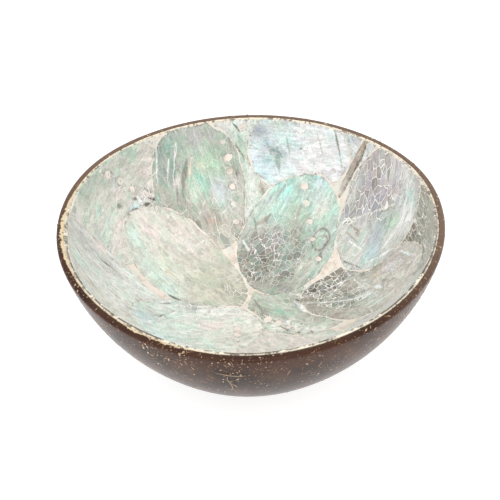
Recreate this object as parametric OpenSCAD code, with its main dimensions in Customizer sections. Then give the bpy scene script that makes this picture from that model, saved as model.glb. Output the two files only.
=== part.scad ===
// Bowl made from half a coconut shell, lined with leaves of abalone shell.
// The leaves are pressed into a bed of pale putty and polished flush with it.
// A coconut has three soft ridges, so each round surface here is the space
// shared by three equal balls that stand a little off the middle line.

/* [Bowl] */
// radius of each of the three balls that shape the outside
outer_round = 76.3; // [74:0.1:79]
// how far each ball stands off the middle line
ridge_shift = 5; // [4:0.1:6]
// height of the sawn rim above the table, on the middle line
bowl_h = 55; // [52:0.5:57]
// slant of the sawn rim in degrees, high on the right
rim_tilt = 1.3; // [0:0.1:2]
// radius of the flat ground on the bottom, where it is narrowest
base_r = 18.5; // [16:0.1:20]

/* [Walls] */
// thickness of the coconut shell at the rim
rim_wall = 2.4; // [2:0.1:3]
// thickness of the coconut shell over the ground flat
floor_wall = 2.4; // [2:0.1:3.2]

/* [Lining] */
// thickness of the putty behind the leaves
bed_t = 0.5; // [0.4:0.05:0.8]
// thickness of one leaf of abalone shell
leaf_t = 0.8; // [0.6:0.05:1.1]
// width of the putty line between two leaves
grout_w = 1; // [0.7:0.1:1.3]
// width of the putty line between the leaves and the sawn rim
rim_bead = 1; // [0.6:0.1:1.4]
// radius of the largest breathing hole in a leaf
pore_r = 1.3; // [1:0.1:1.5]

/* [Hidden] */
$fn = 200;
// direction of the first ridge of the coconut, seen from above
ridge_angle = 27;
// corners on the outline of one leaf
edge_n = 28;
// each breathing hole is smaller than the one before by this share of the largest
pore_shrink = 0.1;

// the balls stand at this height, so that the ground flat comes out as wide as asked
outer_z = sqrt(pow(outer_round, 2) - pow(base_r + ridge_shift, 2));
// depth that is ground away to make the flat
ground_off = sqrt(pow(outer_round, 2) - pow(ridge_shift, 2)) - outer_z;

// the hollow is a smaller set of balls, raised so that the floor can differ from the rim
rim_slope = (outer_z - bowl_h) / outer_round;
hollow_lift = (floor_wall + ground_off - rim_wall) / (1 - rim_slope);
hollow_round = outer_round - rim_wall + hollow_lift * rim_slope;
hollow_z = outer_z + hollow_lift;

// the backs and the faces of the leaves
leaf_back = hollow_round - bed_t;
leaf_face = leaf_back - leaf_t;

// the way up the lining, from the middle of the floor to the rim, as a tilt and as a length
rim_at = acos((hollow_z - bowl_h) / leaf_face);
rim_way = leaf_face * rim_at * PI / 180;

// a cutting prism runs from well inside the hollow to well outside the wall
cut_from = leaf_face * 0.6;
cut_len = leaf_face * 0.7;

// Each leaf: its turn round the bowl; its tilt up from the floor, half length and half
// width, all three in hundredths of the way up to the rim; the slant of its long axis;
// how much broader its upper end is; then its row of breathing holes: first and last as
// parts of the half sizes, and how many.
floor_mid = [191, 23.4, 29, 15.6, 85, 0.02, [-0.62, -0.06], [-0.5, -0.7], 4];
floor_left = [136, 41.4, 30.1, 17.7, 75, 0.1, [0, 0], [0, 0], 0];
right = [31, 75.2, 25.8, 19.3, 85, 0.08, [0, 0], [0, 0], 0];
centre = [67, 48.3, 27.4, 18.8, 102, -0.05, [0.78, -0.27], [-0.08, 0.8], 5];
back_left = [110.5, 70.3, 27.4, 18.8, 81, 0.15, [0.25, 0.8], [-0.68, 0.48], 5];
right_low = [6, 53.8, 31.7, 15.6, 113, 0.1, [0, 0], [0, 0], 0];
left = [180, 67.6, 28.5, 15.6, 93, -0.04, [0, 0], [0, 0], 0];
sliver = [51, 81.4, 12.4, 3.4, 102, 0, [0, 0], [0, 0], 0];
upper_left = [146, 80, 26.9, 22, 160, -0.08, [0.2, -0.46], [0.34, 0.1], 3];
back = [73, 87.6, 19.9, 15.6, 175, -0.05, [0, 0], [0, 0], 0];
front = [251, 73.1, 27.9, 20.9, 86, 0.1, [0.62, -0.5], [-0.3, -0.72], 5];
side_right = [329, 74.5, 29, 20.9, 94, 0.06, [0.56, 0.5], [-0.2, 0.7], 5];
rim_right = [2, 88.3, 26.9, 17.2, 176, 0, [0, 0], [0, 0], 0];
floor_right = [16, 22.8, 23.6, 12.4, 135, -0.15, [-0.46, 0.62], [0.12, 0.72], 4];
floor_front = [311, 30.3, 29, 17.7, 82, -0.02, [0.5, 0.5], [-0.1, 0.66], 4];
front_left = [215, 74.5, 30.1, 21.5, 97, 0.06, [0.55, 0.5], [-0.2, 0.68], 5];
front_right = [290, 74.5, 30.1, 21.5, 84, 0.06, [0.5, -0.5], [-0.2, -0.64], 5];
back_strip = [91, 73.1, 29, 16.1, 84, 0.05, [0.68, 0.02], [0.68, 0.02], 1];
wedge = [54, 96.6, 10.7, 9.7, 62, 0.1, [0, 0], [0, 0], 0];
floor_dip = [246, 40, 26.9, 18.8, 12, 0, [0, 0], [0, 0], 0];

// laid in this order: a later leaf is trimmed to fit round the earlier ones
LEAVES = [floor_mid, floor_left, right, centre, back_left, right_low, left,
  sliver, upper_left, back, front, side_right, rim_right, floor_right,
  floor_front, front_left, front_right, back_strip, wedge, floor_dip];

// what the numbers of a leaf mean, at the size of this bowl
function tilt(l) = l[1] / 100 * rim_at;
function half_len(l) = l[2] / 100 * rim_way;
function half_wid(l) = l[3] / 100 * rim_way;
function taper(l) = l[5];
function pore_n(l) = l[8];

// three equal balls, with their poles laid sideways so that no seam crosses the bowl
module lobed_ball(r, z) {
  intersection_for (k = [0:2])
    rotate(ridge_angle + 120 * k)
      translate([ridge_shift, 0, z])
        rotate([90, 0, 0])
          sphere(r = r);
}

// a block far wider than the bowl, standing on the height z
module slab(z, slant = 0) {
  translate([0, 0, z])
    rotate([0, -slant, 0])
      translate([-outer_round * 2, -outer_round * 2, 0])
        cube([outer_round * 4, outer_round * 4, outer_round * 2]);
}

// turns a flat drawing so that it faces outward where a leaf lies
module at_leaf(l) {
  translate([0, 0, hollow_z])
    rotate([0, -tilt(l), l[0]])
      rotate([180, 0, 90])
        rotate(l[4])
          translate([0, 0, cut_from])
            children();
}

// egg-shaped outline of a leaf, grown by g all round
function egg(l, g) = [for (i = [0:edge_n - 1])
  let (t = 360 * i / edge_n)
  [(half_len(l) + g) * cos(t), (half_wid(l) + g) * sin(t) * (1 + taper(l) * cos(t))]];

module egg_prism(l, g) {
  at_leaf(l)
    linear_extrude(height = cut_len)
      polygon(egg(l, g));
}

// middle of breathing hole k of a leaf, on its flat drawing
function pore_at(l, k) =
  let (p = l[6] + (l[7] - l[6]) * k / max(1, pore_n(l) - 1))
  [half_len(l) * p[0], half_wid(l) * p[1], 0];

module pores(l) {
  at_leaf(l)
    for (k = [0:1:pore_n(l) - 1])
      translate(pore_at(l, k))
        cylinder(r = pore_r * (1 - pore_shrink * k), h = cut_len);
}

// direction from the middle of the hollow to the middle of a leaf
function aim(l) = [sin(tilt(l)) * cos(l[0]), sin(tilt(l)) * sin(l[0]), -cos(tilt(l))];

// true where two leaves lie near enough to touch
function meets(a, b) =
  leaf_face * acos(min(1, aim(a) * aim(b))) * PI / 180 < half_len(a) + half_len(b) + grout_w * 4;

// one leaf: its egg shape in the lining, less the leaves laid before it
module leaf(i) {
  difference() {
    intersection() {
      egg_prism(LEAVES[i], 0);
      lobed_ball(leaf_back, hollow_z);
    }
    lobed_ball(leaf_face, hollow_z);
    slab(bowl_h - rim_bead, rim_tilt);
    for (j = [0:1:i - 1])
      if (meets(LEAVES[i], LEAVES[j]))
        egg_prism(LEAVES[j], grout_w);
    pores(LEAVES[i]);
  }
}

// the sawn half shell, hollowed out and ground flat underneath
module coconut_shell() {
  color([0.2, 0.11, 0.07])
    difference() {
      lobed_ball(outer_round, outer_z);
      lobed_ball(hollow_round, hollow_z);
      slab(bowl_h, rim_tilt);
      slab(-outer_round * 2);
    }
}

// putty behind the leaves, between them, in their breathing holes and along the rim
module putty_bed() {
  color([0.93, 0.84, 0.74])
    difference() {
      lobed_ball(hollow_round, hollow_z);
      lobed_ball(leaf_face, hollow_z);
      slab(bowl_h, rim_tilt);
      for (i = [0:len(LEAVES) - 1])
        leaf(i);
    }
}

module leaf_floor_mid() {
  color([0.82, 0.88, 0.82])
    leaf(0);
}

module leaf_floor_left() {
  color([0.8, 0.85, 0.74])
    leaf(1);
}

module leaf_right() {
  color([0.66, 0.72, 0.72])
    leaf(2);
}

module leaf_centre() {
  color([0.55, 0.8, 0.72])
    leaf(3);
}

module leaf_back_left() {
  color([0.58, 0.74, 0.64])
    leaf(4);
}

module leaf_right_low() {
  color([0.68, 0.7, 0.65])
    leaf(5);
}

module leaf_left() {
  color([0.78, 0.79, 0.79])
    leaf(6);
}

module leaf_sliver() {
  color([0.5, 0.42, 0.35])
    leaf(7);
}

module leaf_upper_left() {
  color([0.72, 0.79, 0.72])
    leaf(8);
}

module leaf_back() {
  color([0.78, 0.82, 0.88])
    leaf(9);
}

module leaf_front() {
  color([0.7, 0.8, 0.78])
    leaf(10);
}

module leaf_side_right() {
  color([0.74, 0.76, 0.8])
    leaf(11);
}

module leaf_rim_right() {
  color([0.6, 0.58, 0.53])
    leaf(12);
}

module leaf_floor_right() {
  color([0.6, 0.76, 0.68])
    leaf(13);
}

module leaf_floor_front() {
  color([0.85, 0.83, 0.8])
    leaf(14);
}

module leaf_front_left() {
  color([0.75, 0.82, 0.76])
    leaf(15);
}

module leaf_front_right() {
  color([0.64, 0.78, 0.74])
    leaf(16);
}

module leaf_back_strip() {
  color([0.74, 0.82, 0.74])
    leaf(17);
}

module leaf_wedge() {
  color([0.68, 0.78, 0.8])
    leaf(18);
}

module leaf_floor_dip() {
  color([0.8, 0.84, 0.82])
    leaf(19);
}

coconut_shell();
putty_bed();
leaf_floor_mid();
leaf_floor_left();
leaf_right();
leaf_centre();
leaf_back_left();
leaf_right_low();
leaf_left();
leaf_sliver();
leaf_upper_left();
leaf_back();
leaf_front();
leaf_side_right();
leaf_rim_right();
leaf_floor_right();
leaf_floor_front();
leaf_front_left();
leaf_front_right();
leaf_back_strip();
leaf_wedge();
leaf_floor_dip();
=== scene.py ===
import math
from collections import namedtuple

import bpy
import numpy as np
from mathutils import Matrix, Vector, noise


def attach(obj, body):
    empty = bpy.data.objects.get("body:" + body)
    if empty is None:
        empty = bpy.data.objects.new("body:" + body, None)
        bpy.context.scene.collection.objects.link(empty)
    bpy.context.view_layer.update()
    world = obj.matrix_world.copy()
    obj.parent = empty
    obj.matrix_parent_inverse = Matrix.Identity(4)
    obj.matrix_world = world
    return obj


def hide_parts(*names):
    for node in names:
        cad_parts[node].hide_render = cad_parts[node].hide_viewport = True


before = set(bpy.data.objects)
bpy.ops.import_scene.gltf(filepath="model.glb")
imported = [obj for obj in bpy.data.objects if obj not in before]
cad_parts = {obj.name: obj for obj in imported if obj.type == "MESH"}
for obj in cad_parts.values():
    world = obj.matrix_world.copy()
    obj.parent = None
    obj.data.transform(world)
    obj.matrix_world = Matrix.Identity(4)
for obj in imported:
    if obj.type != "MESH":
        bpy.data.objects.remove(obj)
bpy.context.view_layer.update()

# Coconut shell
# Half of a ripe coconut's hard shell, sawn across, hollowed and ground flat underneath.
# It has three soft ridges, so each of its round faces is the space that three balls share.
# The dark brown outside is polished, rounded at the lip and lacquered.
MM = 0.001
OUTER_ROUND = 76.3 * MM
RIDGE_SHIFT = 5 * MM
RIDGE_TURN = math.radians(27)
RIDGE_SOFTNESS = 3 * MM
BOWL_HEIGHT = 55 * MM
RIM_SLANT = math.tan(math.radians(1.3))
BASE_RADIUS = 18.5 * MM
RIM_WALL = 2.4 * MM
FLOOR_WALL = 2.4 * MM
LIP_EDGE = 1.1 * MM
LIP_SQUARENESS = 2.6
SHELL_TURNS = 288
SHELL_ROWS = 72
TILT_ROUNDS = 5
WELD = 0.005 * MM

OUTER_Z = math.sqrt(OUTER_ROUND ** 2 - (BASE_RADIUS + RIDGE_SHIFT) ** 2)
GROUND_OFF = math.sqrt(OUTER_ROUND ** 2 - RIDGE_SHIFT ** 2) - OUTER_Z
RIDGE_TURNS = [RIDGE_TURN + ridge * math.tau / 3 for ridge in range(3)]
RIM_LEAN = (OUTER_Z - BOWL_HEIGHT) / OUTER_ROUND
HOLLOW_LIFT = (FLOOR_WALL + GROUND_OFF - RIM_WALL) / (1 - RIM_LEAN)
HOLLOW_ROUND = OUTER_ROUND - RIM_WALL + HOLLOW_LIFT * RIM_LEAN
HOLLOW_Z = OUTER_Z + HOLLOW_LIFT
RIM_RADIUS = math.sqrt(OUTER_ROUND ** 2 - (OUTER_Z - BOWL_HEIGHT) ** 2) - RIDGE_SHIFT / 2

# heights of the redder band under the lip and of the sawn top, and where the top is worn pale
LIP_BAND = (BOWL_HEIGHT - 9 * MM, BOWL_HEIGHT - 2 * MM)
SAWN_BAND = (BOWL_HEIGHT - 1.6 * MM, BOWL_HEIGHT - 0.7 * MM)
WORN_WAY = (0.35, 0.94)
WORN_BAND = (-40 * MM, 20 * MM)
SHELL_RELIEF = 0.15 * MM
LACQUER = 0.5
LACQUER_IOR = 1.3
LACQUER_ROUGHNESS = 0.14
SHELL_DARK = (40, 24, 16)
SHELL_BROWN = (83, 56, 41)
SHELL_LIP = (67, 39, 28)
SHELL_PORE = (178, 140, 98)
SAWN_SMEAR = (228, 208, 172)
SAWN_PALE = (126, 104, 88)


def paint(colour, alpha=1.0):
    """A colour written as 0 to 255 screen values, as the linear colour that a shader takes."""
    share = [value / 255 for value in colour]
    linear = [v / 12.92 if v <= 0.04045 else ((v + 0.055) / 1.055) ** 2.4 for v in share]
    return (*linear, alpha)


def feed(tree, socket, value):
    """Links a socket to another one, or sets it to a plain value."""
    if isinstance(value, bpy.types.NodeSocket):
        tree.links.new(value, socket)
    else:
        socket.default_value = value


def calc(tree, operation, *values):
    """One step of arithmetic in a node tree."""
    node = tree.nodes.new("ShaderNodeMath")
    node.operation = operation
    for socket, value in zip(node.inputs, values):
        feed(tree, socket, value)
    return node.outputs[0]


def node_of(tree, kind, settings=None, **inputs):
    """A node with its options set and its named inputs fed."""
    node = tree.nodes.new(kind)
    for key, value in (settings or {}).items():
        setattr(node, key, value)
    for key, value in inputs.items():
        feed(tree, node.inputs[key.replace("_", " ")], value)
    return node


def times(tree, *values):
    """The product of two or more values."""
    result = values[0]
    for value in values[1:]:
        result = calc(tree, "MULTIPLY", result, value)
    return result


def inverse(tree, value):
    """What a share leaves over of 1."""
    return calc(tree, "SUBTRACT", 1.0, value)


def new_tree(name, kind, inputs, outputs):
    """A node group with its named sockets, listed by their kind, and what its group input gives."""
    tree = bpy.data.node_groups.new(name, kind)
    for in_out, sockets in (("INPUT", inputs), ("OUTPUT", outputs)):
        for socket_kind, names in sockets.items():
            for socket in names:
                tree.interface.new_socket(socket, in_out=in_out, socket_type="NodeSocket" + socket_kind)
    return tree, tree.nodes.new("NodeGroupInput").outputs


def sent_out(tree, geometry, finish, output):
    """Ends a geometry tree: a real, smooth mesh with its finish goes out."""
    real = node_of(tree, "GeometryNodeRealizeInstances", Geometry=geometry)
    smooth = node_of(tree, "GeometryNodeSetShadeSmooth", Geometry=real.outputs[0])
    coated = node_of(tree, "GeometryNodeSetMaterial", Geometry=smooth.outputs[0], Material=finish)
    tree.links.new(coated.outputs[0], tree.nodes.new("NodeGroupOutput").inputs[output])
    return tree


def ball_reach_tree():
    """How far the space shared by three balls reaches from its middle, at a turn and a tilt."""
    tree, given = new_tree("three_ball_reach", "GeometryNodeTree",
                           {"Float": ("Turn", "Tilt", "Ball", "Shift", "Ridge", "Softness")},
                           {"Float": ("Reach",)})
    ball_square = times(tree, given["Ball"], given["Ball"])
    shift_square = times(tree, given["Shift"], given["Shift"])
    square = calc(tree, "SUBTRACT", ball_square, shift_square)
    level = times(tree, calc(tree, "SINE", given["Tilt"]), given["Shift"])
    from_ridge = calc(tree, "SUBTRACT", given["Turn"], given["Ridge"])
    reach = None
    for ridge in range(3):
        turn = calc(tree, "SUBTRACT", from_ridge, ridge * math.tau / 3)
        along = times(tree, level, calc(tree, "COSINE", turn))
        root = calc(tree, "SQRT", calc(tree, "MULTIPLY_ADD", along, along, square))
        ball = calc(tree, "ADD", along, root)
        reach = ball if reach is None else calc(tree, "SMOOTH_MIN", reach, ball, given["Softness"])
    tree.links.new(reach, tree.nodes.new("NodeGroupOutput").inputs["Reach"])
    return tree


def shell_tree():
    """The sawn half shell as four sheets welded together: flat bottom, outside, lip and hollow."""
    sizes = ("Outer ball", "Outer height", "Hollow ball", "Hollow height", "Ridge shift", "Ridge turn",
             "Softness", "Rim height", "Rim slant", "Rim radius", "Lip edge", "Lip squareness", "Weld")
    tree, given = new_tree("sawn_coconut", "GeometryNodeTree",
                           {"Float": sizes, "Int": ("Turns", "Rows"), "Material": ("Finish",)},
                           {"Geometry": ("Shell",)})
    reach_group = ball_reach_tree()
    grid_place = tree.nodes.new("GeometryNodeInputPosition").outputs[0]
    place = node_of(tree, "ShaderNodeSeparateXYZ", Vector=grid_place)
    turn = times(tree, calc(tree, "ADD", place.outputs["X"], 0.5), math.tau)
    share = calc(tree, "ADD", place.outputs["Y"], 0.5)

    def reach(tilt, ball):
        node = node_of(tree, "GeometryNodeGroup", {"node_tree": reach_group}, Turn=turn, Tilt=tilt, Ball=ball,
                       Shift=given["Ridge shift"], Ridge=given["Ridge turn"], Softness=given["Softness"])
        return node.outputs["Reach"]

    def wall_tilt(height, ball, middle):
        drop = calc(tree, "SUBTRACT", middle, height)
        tilt = calc(tree, "ARCCOSINE", calc(tree, "DIVIDE", drop, ball))
        for _ in range(TILT_ROUNDS):
            tilt = calc(tree, "ARCCOSINE", calc(tree, "DIVIDE", drop, reach(tilt, ball)))
        return tilt

    def round_point(radius, height):
        x = times(tree, radius, calc(tree, "COSINE", turn))
        y = times(tree, radius, calc(tree, "SINE", turn))
        return node_of(tree, "ShaderNodeCombineXYZ", X=x, Y=y, Z=height).outputs[0]

    def ball_point(tilt, ball, middle):
        far = reach(tilt, ball)
        height = calc(tree, "SUBTRACT", middle, times(tree, far, calc(tree, "COSINE", tilt)))
        return round_point(times(tree, far, calc(tree, "SINE", tilt)), height)

    def between(first, last):
        return calc(tree, "MULTIPLY_ADD", calc(tree, "SUBTRACT", last, first), share, first)

    def side_radius(tilt, ball):
        return times(tree, reach(tilt, ball), calc(tree, "SINE", tilt))

    def sheet(points):
        around = calc(tree, "ADD", given["Turns"], 1)
        grid = node_of(tree, "GeometryNodeMeshGrid", Size_X=1.0, Size_Y=1.0, Vertices_X=around,
                       Vertices_Y=given["Rows"])
        moved = node_of(tree, "GeometryNodeSetPosition", Geometry=grid.outputs["Mesh"], Position=points)
        return moved.outputs[0]

    outer = given["Outer ball"], given["Outer height"]
    hollow = given["Hollow ball"], given["Hollow height"]
    rise = times(tree, times(tree, given["Rim slant"], given["Rim radius"]),
                calc(tree, "COSINE", turn))
    lip_foot = calc(tree, "SUBTRACT", calc(tree, "ADD", given["Rim height"], rise), given["Lip edge"])
    base_tilt = wall_tilt(0.0, *outer)
    top_tilt = wall_tilt(lip_foot, *outer)
    hollow_tilt = wall_tilt(lip_foot, *hollow)

    bottom = sheet(round_point(times(tree, share, side_radius(base_tilt, outer[0])), 0.0))
    outside = sheet(ball_point(between(base_tilt, top_tilt), *outer))
    inside = sheet(ball_point(between(hollow_tilt, 0.0), *hollow))

    arc = times(tree, share, math.pi)
    power = calc(tree, "DIVIDE", 2.0, given["Lip squareness"])
    across = calc(tree, "COSINE", arc)
    across = times(tree, calc(tree, "SIGN", across),
                  calc(tree, "POWER", calc(tree, "ABSOLUTE", across), power))
    upward = calc(tree, "POWER", calc(tree, "MAXIMUM", calc(tree, "SINE", arc), 0.0), power)
    outer_edge = side_radius(top_tilt, outer[0])
    inner_edge = side_radius(hollow_tilt, hollow[0])
    centre_line = times(tree, calc(tree, "ADD", outer_edge, inner_edge), 0.5)
    half_wall = times(tree, calc(tree, "SUBTRACT", outer_edge, inner_edge), 0.5)
    lip = sheet(round_point(calc(tree, "MULTIPLY_ADD", across, half_wall, centre_line),
                            calc(tree, "MULTIPLY_ADD", upward, given["Lip edge"], lip_foot)))

    joined = tree.nodes.new("GeometryNodeJoinGeometry")
    for part in (bottom, outside, lip, inside):
        tree.links.new(part, joined.inputs[0])
    welded = node_of(tree, "GeometryNodeMergeByDistance", Geometry=joined.outputs[0], Distance=given["Weld"])
    return sent_out(tree, welded.outputs[0], given["Finish"], "Shell")


def formed(name, tree, values, start_mesh=None):
    """Runs a node tree once and keeps its result as a plain mesh object."""
    start = bpy.data.objects.new(name + "_start", start_mesh or bpy.data.meshes.new(name + "_start"))
    bpy.context.collection.objects.link(start)
    form = start.modifiers.new("form", "NODES")
    form.node_group = tree
    for item in tree.interface.items_tree:
        if item.in_out == "INPUT" and item.name in values:
            form[item.identifier] = values[item.name]
    made = start.evaluated_get(bpy.context.evaluated_depsgraph_get())
    piece = bpy.data.objects.new(name, bpy.data.meshes.new_from_object(made))
    bpy.context.collection.objects.link(piece)
    bpy.data.objects.remove(start)
    return piece


def material_with_shader(name):
    """A material, its node tree and its shader."""
    material = bpy.data.materials.new(name)
    material.use_nodes = True
    return material, material.node_tree, material.node_tree.nodes["Principled BSDF"]


def mix(tree, share, first, second, blend="MIX"):
    """Two colours blended by a share from 0 to 1."""
    node = tree.nodes.new("ShaderNodeMix")
    node.data_type = "RGBA"
    node.blend_type = blend
    node.clamp_result = True
    for index, value in ((0, share), (6, first), (7, second)):
        feed(tree, node.inputs[index], value)
    return node.outputs[2]


def tinged(tree, tone, colour, *shares):
    """A screen colour laid over a tone by the product of some shares."""
    return mix(tree, times(tree, *shares), tone, paint(colour))


def cloudy(tree, place, scale, detail=3.0, roughness=0.5):
    """A noise texture's value at a place."""
    node = node_of(tree, "ShaderNodeTexNoise", Vector=place, Scale=scale, Detail=detail, Roughness=roughness)
    return node.outputs["Fac"]


def fade(tree, value, low, high):
    """0 below low, 1 above high, with a soft step between."""
    node = tree.nodes.new("ShaderNodeMapRange")
    node.interpolation_type = "SMOOTHSTEP"
    for index, number in ((0, value), (1, low), (2, high), (3, 0.0), (4, 1.0)):
        feed(tree, node.inputs[index], number)
    return node.outputs[0]


def bumped(tree, shader, height, distance, strength=1.0):
    """Gives a shader fine relief from a height."""
    bump = node_of(tree, "ShaderNodeBump", Strength=strength, Distance=distance, Height=height)
    tree.links.new(bump.outputs[0], shader.inputs["Normal"])


def attribute(tree, name, output="Fac"):
    """A value or colour that a mesh holds at its points."""
    return node_of(tree, "ShaderNodeAttribute", {"attribute_name": name}).outputs[output]


def lacquered(shader, weight=LACQUER, roughness=LACQUER_ROUGHNESS, ior=LACQUER_IOR):
    """A thin clear lacquer, on the wall with little shine where it is seen straight on."""
    shader.inputs["Coat Weight"].default_value = weight
    shader.inputs["Coat IOR"].default_value = ior
    shader.inputs["Coat Roughness"].default_value = roughness


def coconut_finish():
    """Mottled dark brown, redder under the lip, paler on the sawn top and smeared with putty at its edge."""
    material, tree, shader = material_with_shader("lacquered_coconut")
    place = tree.nodes.new("ShaderNodeTexCoord").outputs["Object"]
    along = node_of(tree, "ShaderNodeSeparateXYZ", Vector=place).outputs
    mottle = cloudy(tree, place, 70.0, 6.0, 0.62)
    grain = cloudy(tree, place, 620.0, 4.0, 0.6)
    tone = mix(tree, fade(tree, mottle, 0.34, 0.68), paint(SHELL_DARK), paint(SHELL_BROWN))
    tone = tinged(tree, tone, SHELL_DARK, fade(tree, grain, 0.35, 0.75), 0.35)
    near_lip = fade(tree, along["Z"], *LIP_BAND)
    tone = tinged(tree, tone, SHELL_LIP, near_lip, 0.5)
    level = calc(tree, "MULTIPLY_ADD", along["X"], -RIM_SLANT, along["Z"])
    backward = calc(tree, "MULTIPLY_ADD", along["X"], WORN_WAY[0], times(tree, along["Y"], WORN_WAY[1]))
    worn = times(tree, fade(tree, level, *SAWN_BAND), fade(tree, backward, *WORN_BAND))
    worn = times(tree, worn, calc(tree, "MULTIPLY_ADD", grain, 0.8, 0.4))
    tone = tinged(tree, tone, SAWN_PALE, worn)
    specks = node_of(tree, "ShaderNodeTexVoronoi", Vector=place, Scale=950.0, Randomness=1.0)
    rare = fade(tree, cloudy(tree, place, 260.0, 2.0), 0.5, 0.6)
    speck = times(tree, inverse(tree, fade(tree, specks.outputs["Distance"], 0.16, 0.34)), rare)
    tone = tinged(tree, tone, SHELL_PORE, speck, 0.5)
    ragged = calc(tree, "MULTIPLY_ADD", cloudy(tree, place, 420.0, 5.0, 0.75), 2.4, -1.2)
    smear = fade(tree, calc(tree, "ADD", attribute(tree, "smear"), ragged), 0.4, 0.6)
    tone = tinged(tree, tone, SAWN_SMEAR, smear)
    tree.links.new(tone, shader.inputs["Base Color"])
    tree.links.new(calc(tree, "MULTIPLY_ADD", grain, 0.25, 0.38), shader.inputs["Roughness"])
    shader.inputs["Specular IOR Level"].default_value = 0.05
    lacquered(shader)
    bumped(tree, shader, calc(tree, "ADD", mottle, times(tree, grain, 0.2)), SHELL_RELIEF, 0.5)
    return material


COCONUT = coconut_finish()
shell = formed("coconut_shell_polished", shell_tree(), {
    "Outer ball": OUTER_ROUND, "Outer height": OUTER_Z,
    "Hollow ball": HOLLOW_ROUND, "Hollow height": HOLLOW_Z,
    "Ridge shift": RIDGE_SHIFT, "Ridge turn": RIDGE_TURN, "Softness": RIDGE_SOFTNESS,
    "Rim height": BOWL_HEIGHT, "Rim slant": RIM_SLANT, "Rim radius": RIM_RADIUS,
    "Lip edge": LIP_EDGE, "Lip squareness": LIP_SQUARENESS, "Weld": WELD,
    "Turns": SHELL_TURNS, "Rows": SHELL_ROWS, "Finish": COCONUT})
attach(shell, "root")
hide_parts("coconut_shell")

# Fibre flecks
# Pale ends of the husk's fibres that stay in the polished outside as small lens-shaped specks.
# They are thickest in the band under the lip and lie mostly up and down the wall.
FLECK_LENGTH = 0.5 * MM
FLECK_SHAPE = (1.0, 0.42, 0.12)
FLECK_DENSITY = 520000.0
FLECK_SEED = 7
FLECK_SWING = 1.1
FLECK_STRETCH = ((0.55, 0.7, 0.8), (1.1, 1.3, 1.2))
# flecks lie where the shell faces outwards or is at the very top, and thin out down this band
FLECK_FACING = 0.2 * MM
FLECK_TOP = 0.5 * MM
FLECK_BAND = (3 * MM, 30 * MM)
FLECK_PALE = (220, 190, 156)
FLECK_TAN = (132, 100, 74)


def random_value(tree, kind, low, high, seed):
    """A random number or vector for each point."""
    node = tree.nodes.new("FunctionNodeRandomValue")
    node.data_type = kind
    first = 0 if kind == "FLOAT_VECTOR" else 2
    node.inputs[first].default_value = low
    node.inputs[first + 1].default_value = high
    feed(tree, node.inputs["Seed"], seed)
    return node.outputs[0 if kind == "FLOAT_VECTOR" else 1]


def vector(tree, operation, first, second):
    """One step of vector arithmetic in a node tree, where a dot product gives a number."""
    node = node_of(tree, "ShaderNodeVectorMath", {"operation": operation})
    feed(tree, node.inputs[0], first)
    feed(tree, node.inputs["Scale" if operation == "SCALE" else 1], second)
    return node.outputs["Value" if operation == "DOT_PRODUCT" else "Vector"]


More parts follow.
